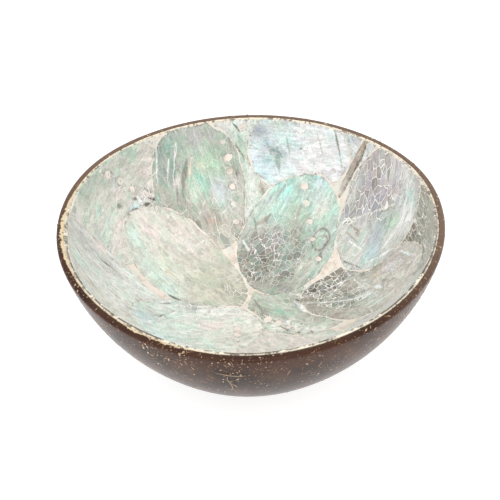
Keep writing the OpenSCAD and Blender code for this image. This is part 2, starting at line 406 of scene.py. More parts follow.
def fleck_tree():
    """Small lenses scattered over the outside of the shell, each turned a little off the upright."""
    tree, given = new_tree("fibre_flecks", "GeometryNodeTree", {
        "Geometry": ("Shell",), "Float": ("Fleck length", "Density", "Rim height", "Rim slant"),
        "Vector": ("Shape",), "Int": ("Seed",), "Material": ("Finish",)}, {"Geometry": ("Flecks",)})
    place = tree.nodes.new("GeometryNodeInputPosition").outputs[0]
    normal = tree.nodes.new("GeometryNodeInputNormal").outputs[0]
    facing = vector(tree, "DOT_PRODUCT", normal, vector(tree, "MULTIPLY", place, (1.0, 1.0, 0.0)))
    along = node_of(tree, "ShaderNodeSeparateXYZ", Vector=place).outputs
    rim = calc(tree, "MULTIPLY_ADD", along["X"], given["Rim slant"], given["Rim height"])
    below = calc(tree, "SUBTRACT", rim, along["Z"])
    outward = calc(tree, "GREATER_THAN", facing, FLECK_FACING)
    on_top = calc(tree, "LESS_THAN", below, FLECK_TOP)
    outward = calc(tree, "MAXIMUM", outward, on_top)
    thick = inverse(tree, fade(tree, below, *FLECK_BAND))
    patchy = fade(tree, cloudy(tree, place, 85.0, 2.0), 0.4, 0.62)
    density = times(tree, calc(tree, "MULTIPLY_ADD", thick, 0.5, 0.12),
                   calc(tree, "MULTIPLY_ADD", patchy, 1.2, 0.25))
    scatter = node_of(tree, "GeometryNodeDistributePointsOnFaces", Mesh=given["Shell"], Selection=outward,
                      Density=times(tree, density, given["Density"]), Seed=given["Seed"])
    flat_on = node_of(tree, "FunctionNodeAlignRotationToVector", {"axis": "Z"},
                      Vector=scatter.outputs["Normal"])
    upright = node_of(tree, "FunctionNodeAlignRotationToVector", {"axis": "X", "pivot_axis": "Z"},
                      Rotation=flat_on.outputs[0], Vector=(0.0, 0.0, 1.0))
    swing = node_of(tree, "FunctionNodeAxisAngleToRotation", Axis=(0.0, 0.0, 1.0),
                    Angle=random_value(tree, "FLOAT", -FLECK_SWING, FLECK_SWING, 3))
    turned = node_of(tree, "FunctionNodeRotateRotation", {"rotation_space": "LOCAL"},
                     Rotation=upright.outputs[0], Rotate_By=swing.outputs[0])
    lens = node_of(tree, "GeometryNodeMeshIcoSphere", Radius=given["Fleck length"], Subdivisions=1)
    small = calc(tree, "POWER", random_value(tree, "FLOAT", 0.0, 1.0, 4), 3.0)
    stretch = random_value(tree, "FLOAT_VECTOR", *FLECK_STRETCH, 5)
    stretch = vector(tree, "SCALE", stretch, calc(tree, "MULTIPLY_ADD", small, 1.5, 0.5))
    shaped = vector(tree, "MULTIPLY", stretch, given["Shape"])
    laid = node_of(tree, "GeometryNodeInstanceOnPoints", Points=scatter.outputs["Points"],
                   Instance=lens.outputs["Mesh"], Rotation=turned.outputs[0], Scale=shaped)
    shade = node_of(tree, "GeometryNodeStoreNamedAttribute", {"data_type": "FLOAT", "domain": "INSTANCE"},
                    Geometry=laid.outputs[0], Name="shade", Value=random_value(tree, "FLOAT", 0.0, 1.0, 6))
    return sent_out(tree, shade.outputs[0], given["Finish"], "Flecks")


def fleck_finish():
    """Bare fibre, tan to pale, under the lacquer of the wall."""
    material, tree, shader = material_with_shader("husk_fibre")
    shade = calc(tree, "POWER", attribute(tree, "shade"), 2.0)
    tree.links.new(mix(tree, shade, paint(FLECK_TAN), paint(FLECK_PALE)), shader.inputs["Base Color"])
    place = tree.nodes.new("ShaderNodeTexCoord").outputs["Object"]
    dull = calc(tree, "MULTIPLY_ADD", cloudy(tree, place, 900.0), 0.3, 0.4)
    tree.links.new(dull, shader.inputs["Roughness"])
    lacquered(shader)
    return material


FIBRE = fleck_finish()
flecks = formed("fibre_flecks", fleck_tree(), {
    "Fleck length": FLECK_LENGTH, "Density": FLECK_DENSITY, "Rim height": BOWL_HEIGHT, "Rim slant": RIM_SLANT,
    "Shape": FLECK_SHAPE, "Seed": FLECK_SEED, "Finish": FIBRE}, shell.data.copy())
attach(flecks, "root")

# Fibre lines
# A few longer fibres lie bare in the polished outside: a forked one and a level one at the front,
# and a bowed one under the lip on the right. Each is a thin thread let into the shell.
LINE_RADIUS = 0.1 * MM
LINE_STEPS = 24
LINE_SIDES = 6
LINE_SHADE = 0.75
# each line runs through places given as a turn in degrees and a height in mm
FIBRE_LINES = [
    [(263.6, 47.2), (263.9, 44.8), (263.8, 42.2), (264.6, 39.6), (265.0, 37.0), (265.2, 34.4), (266.2, 31.4)],
    [(264.6, 39.6), (265.8, 38.2), (266.6, 36.6)],
    [(260.0, 46.9), (261.6, 46.1), (263.6, 45.7), (266.1, 45.6), (269.1, 45.7)],
    [(319.4, 52.6), (320.9, 50.6), (322.2, 48.2), (323.2, 45.4), (323.8, 42.6)],
    [(252.0, 50.2), (252.5, 47.9)], [(250.4, 48.4), (250.8, 46.2)], [(253.6, 47.2), (254.4, 45.4)],
    [(281.6, 46.8), (280.9, 43.4)], [(291.0, 47.8), (290.2, 44.0)], [(247.4, 40.6), (247.9, 38.0)],
]


def line_tree():
    """Threads along bent lines, thickest in the middle and pointed at both ends."""
    tree, given = new_tree("fibre_lines", "GeometryNodeTree", {
        "Geometry": ("Lines",), "Float": ("Radius",), "Material": ("Finish",)}, {"Geometry": ("Threads",)})
    curve = node_of(tree, "GeometryNodeMeshToCurve", Mesh=given["Lines"])
    curve = node_of(tree, "GeometryNodeCurveSplineType", {"spline_type": "CATMULL_ROM"},
                    Curve=curve.outputs[0])
    curve = node_of(tree, "GeometryNodeResampleCurve", Curve=curve.outputs[0], Count=LINE_STEPS)
    part = tree.nodes.new("GeometryNodeSplineParameter").outputs["Factor"]
    swell = calc(tree, "SINE", calc(tree, "MULTIPLY_ADD", part, math.pi * 0.9, math.pi * 0.05))
    ring = node_of(tree, "GeometryNodeCurvePrimitiveCircle", Resolution=LINE_SIDES, Radius=given["Radius"])
    thread = node_of(tree, "GeometryNodeCurveToMesh", Curve=curve.outputs[0], Profile_Curve=ring.outputs[0],
                     Scale=swell, Fill_Caps=True)
    shade = node_of(tree, "GeometryNodeStoreNamedAttribute", {"data_type": "FLOAT", "domain": "POINT"},
                    Geometry=thread.outputs[0], Name="shade", Value=LINE_SHADE)
    return sent_out(tree, shade.outputs[0], given["Finish"], "Threads")


def outside_point(turn, height):
    """A point on the outside of the shell at a turn and a height."""
    rise = height - OUTER_Z
    level = []
    for ridge in RIDGE_TURNS:
        along = RIDGE_SHIFT * math.cos(turn - ridge)
        level.append(along + math.sqrt(OUTER_ROUND ** 2 - rise ** 2 - RIDGE_SHIFT ** 2 + along ** 2))
    return (min(level) * math.cos(turn), min(level) * math.sin(turn), height)


fibre_points = [outside_point(math.radians(turn), height * MM)
                for line in FIBRE_LINES for turn, height in line]
fibre_ends = np.cumsum([len(line) for line in FIBRE_LINES]) - 1
fibre_edges = [(k, k + 1) for k in range(len(fibre_points) - 1) if k not in fibre_ends]
fibre_mesh = bpy.data.meshes.new("fibre_lines_start")
fibre_mesh.from_pydata(fibre_points, fibre_edges, [])
threads = formed("fibre_lines", line_tree(), {"Radius": LINE_RADIUS, "Finish": FIBRE}, fibre_mesh)
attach(threads, "root")

# Putty bed
# Cream putty spread in the hollow: it glues the leaves in and shows between them, in their
# breathing holes and as an uneven bead along the rim. It is rubbed down flush with the leaves.
BED_DEPTH = 0.5 * MM
LEAF_DEPTH = 0.8 * MM
GROUT = 0.3 * MM
GROUT_WAVER = 0.45 * MM
GROUT_THINNEST = 0.06 * MM
BEAD = 0.2 * MM
BEAD_SWELL = 0.5 * MM
# the two places where most putty was left at the rim: turn and spread in degrees
BEAD_SWELLS = ((183, 16), (243, 14))
BEAD_WAVER = 0.16 * MM
BEAD_FINE_WAVER = 0.14 * MM
BEAD_TOP_WAVER = 0.12 * MM
BEAD_THINNEST = 0.1 * MM
BEAD_KNEE = 0.55 * MM
BEAD_KNEE_SHARE = 0.75
BEAD_FOOT = 0.6 * MM
# share of the lining's thickness that the bead covers at the sides, its gain in front, the least at the back
BEAD_SIDE_SHARE = 0.55
BEAD_FRONT_GAIN = 0.9
BEAD_BACK_SHARE = 0.25
# the bead's round top: share of the way inwards and drop below the rim in mm
BEAD_PROFILE = ((0.0, 0.25), (0.08, 0.08), (0.3, 0.0), (0.6, 0.02), (0.82, 0.1), (0.95, 0.28), (1.0, 0.5))
RIPPLE_CIRCLE = 60 * MM
RIM_STEP = 0.5 * MM
SMEAR_WIDTH = 0.9 * MM
SMEAR_LEAST = 0.1 * MM
PUTTY_SINK = 0.05 * MM
BED_TURNS = 540
BED_ROWS = 24
POLE_TILT = 0.02
LINING_ROUNDS = 6
FLAT_STEP = 0.4 * MM
FLAT_REACH = math.radians(77)
SNAP = 0.03 * MM
EDGE_WOBBLE = 0.25 * MM
OUTLINE_DRIFT = 1.5 * MM
# ripples of an edge and of an outline: height, waves to the millimetre and seed
EDGE_WAVES = ((1.0, 0.16, 0.0), (0.6, 0.6, 3.0), (0.3, 1.3, 8.0))
DRIFT_WAVES = ((1.0, 0.06, 0.0), (0.35, 0.22, 0.5))
DRIFT_SEEDS = (21.0, 32.0, 43.0)
LEAST_TAPER = 0.2
PORE_RADIUS = 1.3 * MM
PORE_SHRINK = 0.1
PORE_STRETCH = 0.85
INNER_LACQUER = 0.6
INNER_LACQUER_IOR = 1.5
PUTTY_CREAM = (246, 233, 221)
PUTTY_SHADE = (214, 200, 184)
BEAD_CREAM = (244, 236, 212)
CHIP = (222, 228, 218)
CRUMB_PALE = (226, 226, 224)
CRUMB_GREY = (178, 184, 178)
CRUMB_DEPTH = 0.6 * MM
CRUMB_HEIGHT = 42 * MM
CRUMB_RAMP = 4 * MM
CRUMB_START = 0.4
# painted shadow in the bead's inner part: where it starts as a share of the bead's reach, its share at the
# sides, its gain in front and its ramp
SEAM_SHADOW_START = 0.22
SEAM_SHADOW_SIDE_SHARE = 0.5
SEAM_SHADOW_FRONT_GAIN = 1.2
SEAM_SHADOW_RAMP = 0.2
PUTTY_RELIEF = 0.04 * MM
# dark brown for grit in the bead and for the painted shadow on its inner part
GRIT_AND_SEAM_SHADOW_BROWN = (78, 60, 40)

LEAF_BACK = HOLLOW_ROUND - BED_DEPTH
LEAF_FACE = LEAF_BACK - LEAF_DEPTH
MIDDLE = np.array([0.0, 0.0, HOLLOW_Z])
RIDGES = np.array([[math.cos(turn), math.sin(turn), 0.0] for turn in RIDGE_TURNS])

# the leaves in the order they are laid: turn and tilt of the middle, half sizes in mm, slant,
# taper, then, where it has breathing holes, the first and last as parts of the half sizes, and how many
Leaf = namedtuple("Leaf", "name slot turn tilt half_len half_wid slant taper first last holes",
                  defaults=((0, 0), (0, 0), 0))
LEAVES = [
    Leaf("floor_mid", "nacre_pale", 191, 17, 27, 14.5, 85, 0.02, (-0.62, -0.06), (-0.5, -0.7), 4),
    Leaf("floor_left", "nacre_cream", 136, 30, 28, 16.5, 75, 0.1),
    Leaf("right", "nacre_lilac", 31, 56, 26, 18, 85, 0.08),
    Leaf("centre", "nacre_green", 67, 35, 25.5, 17.5, 102, -0.05, (0.78, -0.27), (-0.08, 0.8), 5),
    Leaf("back_left", "nacre_green", 110.5, 51, 25.5, 17.5, 81, 0.15, (0.25, 0.8), (-0.68, 0.48), 5),
    Leaf("right_low", "nacre_grey", 6, 39, 29.5, 14.5, 113, 0.1),
    Leaf("left", "nacre_grey", 180, 49, 26.5, 14.5, 93, -0.04),
    Leaf("sliver", "nacre_brown", 49.9, 62.4, 14, 1.6, 100.5, 0),
    Leaf("upper_left", "nacre_pale", 146, 58, 25, 20.5, 160, -0.08, (0.2, -0.46), (0.34, 0.1), 3),
    Leaf("back", "nacre_lilac", 71.2, 62.5, 20.5, 16.5, 175, -0.05),
    Leaf("front", "nacre_green", 251, 53, 26, 19.5, 86, 0.1, (0.62, -0.5), (-0.3, -0.72), 5),
    Leaf("side_right", "nacre_lilac", 329, 54, 27, 19.5, 94, 0.06, (0.56, 0.5), (-0.2, 0.7), 5),
    Leaf("rim_right", "nacre_brown", 2, 64, 25, 16, 176, 0),
    Leaf("floor_right", "nacre_green", 16, 16.5, 22, 11.5, 135, -0.15, (-0.46, 0.62), (0.12, 0.72), 4),
    Leaf("floor_front", "nacre_cream", 311, 22, 27, 16.5, 82, -0.02, (0.5, 0.5), (-0.1, 0.66), 4),
    Leaf("front_left", "nacre_pale", 215, 54, 28, 20, 97, 0.06, (0.55, 0.5), (-0.2, 0.68), 5),
    Leaf("front_right", "nacre_green", 290, 54, 28, 20, 84, 0.06, (0.5, -0.5), (-0.2, -0.64), 5),
    Leaf("back_strip", "nacre_pale", 91, 53, 27, 15, 84, 0.05, (0.68, 0.02), (0.68, 0.02), 1),
    Leaf("wedge", "nacre_lilac", 54, 70, 11, 12, 62, 0.1),
    Leaf("floor_dip", "nacre_cream", 246, 29, 25, 17.5, 12, 0),
]


def soft_min(first, second):
    """The smaller of two reaches, rounded off where they are nearly equal."""
    near = np.maximum(RIDGE_SOFTNESS - np.abs(first - second), 0) / RIDGE_SOFTNESS
    return np.minimum(first, second) - near ** 3 * RIDGE_SOFTNESS / 6


def ball_reach(way, ball):
    """How far the space shared by three balls reaches from its middle, along unit directions."""
    along = RIDGE_SHIFT * way @ RIDGES.T
    reach = along + np.sqrt(np.asarray(ball)[..., None] ** 2 - RIDGE_SHIFT ** 2 + along ** 2)
    return soft_min(soft_min(reach[..., 0], reach[..., 1]), reach[..., 2])


def direction(turn, tilt):
    """Unit directions from the middle of the hollow, turned round the bowl and tilted up from the floor."""
    return np.stack([np.sin(tilt) * np.cos(turn), np.sin(tilt) * np.sin(turn), -np.cos(tilt)], axis=-1)


def flat_direction(flat):
    """Directions to places on the flat map of the lining, which keeps lengths up the wall true."""
    return direction(np.arctan2(flat[:, 1], flat[:, 0]), np.hypot(flat[:, 0], flat[:, 1]) / HOLLOW_ROUND)


def on_lining(way, ball, lift=0.0):
    """Points of the lining at a ball's radius, lifted towards the inside of the bowl."""
    return MIDDLE + way * (ball_reach(way, ball) - lift)[..., None]


def ripple(points, scale, seed=0.0):
    """Smooth noise from -1 to 1 at each point, with scale waves to the millimetre."""
    shift = Vector((seed, seed, seed))
    return np.array([noise.noise(Vector(point) * (scale / MM) + shift) for point in points])


def ripples(points, waves, seed=0.0):
    """Several ripples added up, each with its height, its waves to the millimetre and its own seed."""
    return sum(height * ripple(points, scale, seed + own) for height, scale, own in waves)


def rim_height(points):
    """Height of the sawn rim over points."""
    return BOWL_HEIGHT + RIM_SLANT * points[..., 0]


def swelling(turn):
    """1 at the two places where most putty was left at the rim, falling to 0 away from them."""
    share = np.zeros_like(turn)
    for middle, spread in BEAD_SWELLS:
        off = np.mod(turn - math.radians(middle) + math.pi, math.tau) - math.pi
        share = np.maximum(share, np.exp(-(off / math.radians(spread)) ** 2))
    return share


def bead_width(turn):
    """Width of the putty bead below the rim, which swells at two places and wavers all round."""
    circle = np.stack([np.cos(turn), np.sin(turn), np.zeros_like(turn)], axis=-1) * RIPPLE_CIRCLE
    waver = ripple(circle.reshape(-1, 3), 0.22, 5.0).reshape(turn.shape)
    fine = ripple(circle.reshape(-1, 3), 0.8, 6.0).reshape(turn.shape)
    width = BEAD + BEAD_SWELL * swelling(turn) + BEAD_WAVER * waver + BEAD_FINE_WAVER * fine
    return np.maximum(width, BEAD_THINNEST)


def bead_reach(turn):
    """How far the bead reaches in from the hollow: all over the leaves in front, little at the back."""
    share = np.clip(BEAD_SIDE_SHARE - BEAD_FRONT_GAIN * np.sin(turn), BEAD_BACK_SHARE, 1.0)
    return (BED_DEPTH + LEAF_DEPTH) * np.maximum(share, swelling(turn))


def corner_faces(corners, *picks):
    """Triangles through three corners of each square of a net."""
    return np.stack([corners[pick] for pick in picks], 1)


# the flat map is a square net of triangles, which each leaf is cut from along its outline
steps = int(FLAT_REACH * HOLLOW_ROUND / FLAT_STEP)
axis = np.arange(-steps, steps + 1) * FLAT_STEP
FLAT = np.stack([grid.ravel() for grid in np.meshgrid(axis, axis)], axis=1)
side = len(axis)
row, column = np.divmod(np.arange((side - 1) ** 2), side - 1)
corners = [row * side + column + jump for jump in (0, 1, side + 1, side)]
even = ((row + column) % 2 == 0)[:, None]
NET = np.concatenate([
    np.where(even, corner_faces(corners, 0, 1, 2), corner_faces(corners, 0, 1, 3)),
    np.where(even, corner_faces(corners, 0, 2, 3), corner_faces(corners, 1, 2, 3))])
FACE_POINTS = on_lining(flat_direction(FLAT), LEAF_FACE)
DRIFT = np.stack([OUTLINE_DRIFT * ripples(FACE_POINTS, DRIFT_WAVES, seed) for seed in DRIFT_SEEDS], 1)
FROM_MIDDLE = FACE_POINTS - MIDDLE + DRIFT
WOBBLE = EDGE_WOBBLE * ripples(FACE_POINTS, EDGE_WAVES)
UNEVEN_GROUT = np.maximum(GROUT + GROUT_WAVER * ripple(FACE_POINTS, 0.09, 4.0), GROUT_THINNEST)
RIM_TURNS = np.linspace(-math.pi, math.pi, 721)
BEAD_BELOW = np.interp(np.arctan2(FLAT[:, 1], FLAT[:, 0]), RIM_TURNS, bead_width(RIM_TURNS))
ABOVE_BEAD = FACE_POINTS[:, 2] - rim_height(FACE_POINTS) + BEAD_BELOW


def leaf_axes(leaf):
    """The way a leaf faces, its long axis and its short axis."""
    turn, tilt, slant = (math.radians(angle) for angle in (leaf.turn, leaf.tilt, leaf.slant))
    out = np.array([math.sin(tilt) * math.cos(turn), math.sin(tilt) * math.sin(turn), -math.cos(tilt)])
    level = np.array([-math.sin(turn), math.cos(turn), 0.0])
    rising = np.array([math.cos(tilt) * math.cos(turn), math.cos(tilt) * math.sin(turn), math.sin(tilt)])
    return (out, level * math.cos(slant) + rising * math.sin(slant),
            rising * math.cos(slant) - level * math.sin(slant))


def egg_field(leaf):
    """Below zero inside a leaf's egg-shaped outline, about the distance to it in metres elsewhere."""
    out, along, across = leaf_axes(leaf)
    x = FROM_MIDDLE @ along / (leaf.half_len * MM)
    y = FROM_MIDDLE @ across / (leaf.half_wid * MM * np.maximum(1 + leaf.taper * x, LEAST_TAPER))
    edge = (np.hypot(x, y) - 1) * leaf.half_wid * MM
    return np.where(FROM_MIDDLE @ out > 0, edge, leaf.half_wid * MM)


EGG_FIELDS = [egg_field(leaf) for leaf in LEAVES]


def pore_field(leaf):
    """Above zero inside a leaf's breathing holes."""
    _, along, across = leaf_axes(leaf)
    x = FROM_MIDDLE @ along
    y = FROM_MIDDLE @ across
    inside = np.full(len(FLAT), -1.0)
    for hole in range(leaf.holes):
        share = hole / max(1, leaf.holes - 1)
        place = [a + (b - a) * share for a, b in zip(leaf.first, leaf.last)]
        radius = PORE_RADIUS * (1 - PORE_SHRINK * hole)
        far = np.hypot(x - place[0] * leaf.half_len * MM, (y - place[1] * leaf.half_wid * MM) * PORE_STRETCH)
        inside = np.maximum(inside, radius - far)
    return inside


def leaf_field(number):
    """Below zero where a leaf shows: its egg shape, less earlier leaves, the rim bead and its holes."""
    field = np.maximum(EGG_FIELDS[number], ABOVE_BEAD)
    for earlier in EGG_FIELDS[:number]:
        field = np.maximum(field, UNEVEN_GROUT - earlier)
    return np.maximum(field, pore_field(LEAVES[number])) + WOBBLE


LEAF_FIELDS = [leaf_field(number) for number in range(len(LEAVES))]


def cut(field):
    """The part of the net where a field is below zero, cut cleanly along its zero line."""
    field = np.where(np.abs(field) < SNAP, np.where(field < 0, -SNAP, SNAP), field)
    inside = field < 0
    count = inside[NET].sum(1)
    total = len(FLAT)
    kept = [NET[count == 3]]
    for lone, alone in ((1, True), (2, False)):
        part = NET[count == lone]
        odd = np.argmax(inside[part] == alone, axis=1)
        a, b, c = (part[np.arange(len(part)), (odd + k) % 3] for k in range(3))
        to_b = total + np.minimum(a, b) * total + np.maximum(a, b)
        to_c = total + np.minimum(a, c) * total + np.maximum(a, c)
        if alone:
            kept.append(np.stack([a, to_b, to_c], 1))
        else:
            kept.append(np.stack([to_b, b, c], 1))
            kept.append(np.stack([to_b, c, to_c], 1))
    faces = np.concatenate(kept)
    ids, faces = np.unique(faces, return_inverse=True)
    crossing = ids >= total
    flat = FLAT[np.where(crossing, 0, ids)]
    first, second = np.divmod(ids[crossing] - total, total)
    share = (field[first] / (field[first] - field[second]))[:, None]
    flat[crossing] = FLAT[first] + share * (FLAT[second] - FLAT[first])
    inset = np.where(crossing, 0.0, -field[np.where(crossing, 0, ids)])
    return flat, faces.reshape(-1, 3), inset


def closed_plate(front, back, faces):
    """Points and faces of a plate: its front, its back and a wall along every open edge."""
    count = len(front)
    edges = np.concatenate([faces[:, [0, 1]], faces[:, [1, 2]], faces[:, [2, 0]]])
    keys = edges.min(1) * count + edges.max(1)
    _, first, uses = np.unique(keys, return_index=True, return_counts=True)
    rim = edges[first[uses == 1]]
    walls = np.stack([rim[:, 1], rim[:, 0], rim[:, 0] + count, rim[:, 1] + count], 1)
    return (np.concatenate([front, back]),
            faces.tolist() + (faces[:, ::-1] + count).tolist() + walls.tolist())


def piece_from(name, points, faces, material, sharp_angle=40):
    """A smooth mesh object with creases where its faces turn sharply."""
    mesh = bpy.data.meshes.new(name)
    mesh.from_pydata(points.tolist(), [], faces)
    mesh.polygons.foreach_set("use_smooth", np.ones(len(mesh.polygons), dtype=bool))
    mesh.set_sharp_from_angle(angle=math.radians(sharp_angle))
    mesh.materials.append(material)
    piece = bpy.data.objects.new(name, mesh)
    bpy.context.collection.objects.link(piece)
    return piece


def keep(piece, name, kind, values):
    """Stores values at a mesh's points for its material to read."""
    field = {"FLOAT": "value", "FLOAT_VECTOR": "vector", "FLOAT_COLOR": "color"}[kind]
    layer = piece.data.attributes.new(name, kind, "POINT")
    layer.data.foreach_set(field, np.ascontiguousarray(values, dtype=np.float32).ravel())


def tilt_at(turn, height, ball):
    """Tilt at which the lining at a ball's radius comes up to a height."""
    tilt = np.arccos((HOLLOW_Z - height) / ball)
    for _ in range(LINING_ROUNDS):
        tilt = np.arccos((HOLLOW_Z - height) / ball_reach(direction(turn, tilt), ball))
    return tilt


def bed_rings():
    """Rings of points round the glue layer, from under its middle over the rim to its face's middle."""
    turn = np.linspace(0, math.tau, BED_TURNS, endpoint=False)
    flat_rim = BOWL_HEIGHT + RIM_SLANT * RIM_RADIUS * np.cos(turn)
    bead = bead_width(turn)
    waver = BEAD_TOP_WAVER * ripple(direction(turn, np.full_like(turn, 1.2)) * RIPPLE_CIRCLE, 0.5, 9.0)
    rings = []

    def wall(ball, low, high, rows):
        for share in np.linspace(0, 1, rows):
            rings.append((on_lining(direction(turn, low + (high - low) * share), ball), nothing))

    def at(ball, drop, tag):
        rings.append((on_lining(direction(turn, tilt_at(turn, flat_rim - drop, ball)), ball), tag))

    nothing = np.zeros(BED_TURNS)
    all_bead = np.ones(BED_TURNS)
    pole = np.full(BED_TURNS, POLE_TILT)
    foot = np.maximum(bead, BEAD_FOOT)
    thickness = bead_reach(turn)
    wall(HOLLOW_ROUND, pole, tilt_at(turn, flat_rim - RIM_STEP, HOLLOW_ROUND), BED_ROWS)
    for share, drop in BEAD_PROFILE:
        at(HOLLOW_ROUND - thickness * share, drop * MM + waver, all_bead)
    at(HOLLOW_ROUND - thickness, np.maximum(bead * BEAD_KNEE_SHARE, BEAD_KNEE), all_bead)
    at(HOLLOW_ROUND - thickness, foot, all_bead)
    at(LEAF_BACK, foot, nothing)
    wall(LEAF_BACK, tilt_at(turn, flat_rim - foot - RIM_STEP, LEAF_BACK), pole, BED_ROWS)
    return np.array([ring for ring, _ in rings]), np.array([tag for _, tag in rings])


def bed_layer():
    """Points, faces and bead tags of the glue layer, closed at both poles."""
    rings, tags = bed_rings()
    count, around = rings.shape[:2]
    points = rings.reshape(-1, 3).tolist()
    step = np.arange(around)
    after = (step + 1) % around
    faces = []
    for ring in range(count - 1):
        here, there = ring * around, (ring + 1) * around
        faces += np.stack([here + step, here + after, there + after, there + step], 1).tolist()
    for ring, ball, forward in ((0, HOLLOW_ROUND, False), (count - 1, LEAF_BACK, True)):
        pole = on_lining(direction(np.zeros(1), np.zeros(1)), ball)[0]
        points.append(pole.tolist())
        first, second = (step, after) if forward else (after, step)
        tip = np.full(around, len(points) - 1)
        faces += np.stack([ring * around + first, ring * around + second, tip], 1).tolist()
    return np.array(points), faces, np.concatenate([tags.ravel(), [0.0, 0.0]])


def putty_finish():
    """Cream putty with chips and rifts, shell crumbs in wide gaps, grit in the bead, and a painted shadow in
    dark dashes on the bead's inner part.
    """
    material, tree, shader = material_with_shader("rubbed_putty")
    place = tree.nodes.new("ShaderNodeTexCoord").outputs["Object"]
    bead = attribute(tree, "bead")
    cloud = cloudy(tree, place, 240.0, 4.0, 0.6)
    dust = cloudy(tree, place, 1500.0, 3.0, 0.6)
    tone = mix(tree, fade(tree, cloud, 0.45, 0.75), paint(PUTTY_CREAM), paint(PUTTY_SHADE))
    chips = node_of(tree, "ShaderNodeTexVoronoi", Vector=place, Scale=300.0)
    chip_dice = node_of(tree, "ShaderNodeSeparateColor", Color=chips.outputs["Color"]).outputs
    chip = times(tree, fade(tree, chip_dice["Red"], 0.6, 0.66), 0.5)
    tone = tinged(tree, tone, CHIP, chip)
    rift = node_of(tree, "ShaderNodeTexVoronoi", {"feature": "DISTANCE_TO_EDGE"}, Vector=place, Scale=300.0)
    rift = inverse(tree, fade(tree, rift.outputs["Distance"], 0.02, 0.07))
    tone = tinged(tree, tone, PUTTY_SHADE, rift, fade(tree, cloud, 0.45, 0.6))
    crumbs = attribute(tree, "crumbs")
    crumb_tone = mix(tree, chip_dice["Green"], paint(CRUMB_PALE), paint(CRUMB_GREY))
    crumb_tone = tinged(tree, crumb_tone, PUTTY_CREAM, rift)
    tone = mix(tree, crumbs, tone, crumb_tone)
    tone = tinged(tree, tone, BEAD_CREAM, bead, 0.85)
    tone = tinged(tree, tone, PUTTY_SHADE, fade(tree, dust, 0.56, 0.72), 0.35)
    grit = fade(tree, cloudy(tree, place, 480.0, 4.0, 0.7), 0.52, 0.6)
    tone = tinged(tree, tone, GRIT_AND_SEAM_SHADOW_BROWN, grit, bead, 0.75)
    dashes = fade(tree, cloudy(tree, place, 150.0, 5.0, 0.65), 0.42, 0.5)
    # painted shadow: dark dashes over the inner part of the bead, the shade of the gap at the leaves' edge
    tone = tinged(tree, tone, GRIT_AND_SEAM_SHADOW_BROWN, attribute(tree, "seam"), dashes)
    tree.links.new(tone, shader.inputs["Base Color"])
    tree.links.new(calc(tree, "MULTIPLY_ADD", dust, 0.3, 0.35), shader.inputs["Roughness"])
    lacquered(shader, INNER_LACQUER, 0.15, INNER_LACQUER_IOR)
    bumped(tree, shader, dust, PUTTY_RELIEF, 0.5)
    return material


layer_points, layer_faces, layer_bead = bed_layer()
grout_flat, grout_net, grout_inset = cut(np.maximum(-np.min(LEAF_FIELDS, axis=0), ABOVE_BEAD))
grout_way = flat_direction(grout_flat)
grout_points, grout_faces = closed_plate(on_lining(grout_way, LEAF_FACE, -PUTTY_SINK),
                                         on_lining(grout_way, LEAF_BACK), grout_net)
grout_faces = [[index + len(layer_points) for index in face] for face in grout_faces]
bed = piece_from("putty_bed_rubbed", np.concatenate([layer_points, grout_points]),
                 layer_faces + grout_faces, putty_finish())
keep(bed, "bead", "FLOAT", np.concatenate([layer_bead, np.zeros(len(grout_points))]))
wide = np.clip(np.tile(grout_inset, 2) / CRUMB_DEPTH - CRUMB_START, 0, 1)
crumbs = wide * np.clip((grout_points[:, 2] - CRUMB_HEIGHT) / CRUMB_RAMP, 0, 1)
keep(bed, "crumbs", "FLOAT", np.concatenate([np.zeros(len(layer_points)), crumbs]))
layer_way = layer_points - MIDDLE
layer_far = np.linalg.norm(layer_way, axis=1)
inwards = ball_reach(layer_way / layer_far[:, None], HOLLOW_ROUND) - layer_far
layer_turn = np.arctan2(layer_points[:, 1], layer_points[:, 0])
# the painted shadow in the inner part of the bead, strongest in front
towards_front = np.clip(SEAM_SHADOW_SIDE_SHARE - SEAM_SHADOW_FRONT_GAIN * np.sin(layer_turn), 0, 1)
seam = np.clip((inwards / bead_reach(layer_turn) - SEAM_SHADOW_START) / SEAM_SHADOW_RAMP, 0, 1)
keep(bed, "seam", "FLOAT", np.concatenate([layer_bead * towards_front * seam, np.zeros(len(grout_points))]))

# some putty is left smeared over the inner edge of the sawn rim, most where the bead is widest
lip = np.array([vertex.co for vertex in shell.data.vertices])
lip_turn = np.arctan2(lip[:, 1], lip[:, 0])
lip_way = direction(lip_turn, tilt_at(lip_turn, np.full(len(lip), BOWL_HEIGHT - LIP_EDGE), HOLLOW_ROUND))
lip_edge = np.hypot(*on_lining(lip_way, HOLLOW_ROUND)[:, :2].T)
from_edge = np.hypot(lip[:, 0], lip[:, 1]) - lip_edge
on_lip = lip[:, 2] > rim_height(lip) - LIP_EDGE
smear_reach = 2 * (SMEAR_WIDTH * swelling(lip_turn)) + SMEAR_LEAST
keep(shell, "smear", "FLOAT", np.where(on_lip, np.clip(1 - from_edge / smear_reach, 0, 1), 0))
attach(bed, "root")
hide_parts("putty_bed")

# Abalone leaves
# Twenty plates of abalone shell, each ground to an egg shape, pressed into the putty until it
# cracked, trimmed to its neighbours and lacquered. Their mother of pearl runs from mint and
# turquoise to lilac, and brown where the pressing broke it into small cells.
EDGE_DIP = 0.08 * MM
EDGE_DIP_WIDTH = 1.2 * MM
CRUMBLE_WIDTH = 3.0 * MM
LEAST_CRACKS = 0.06
# the wedge lies on both sides of the sliver, so its smaller part is kept too
LEAST_PART = {"wedge": 0.04}
NACRE_RELIEF = 0.05 * MM
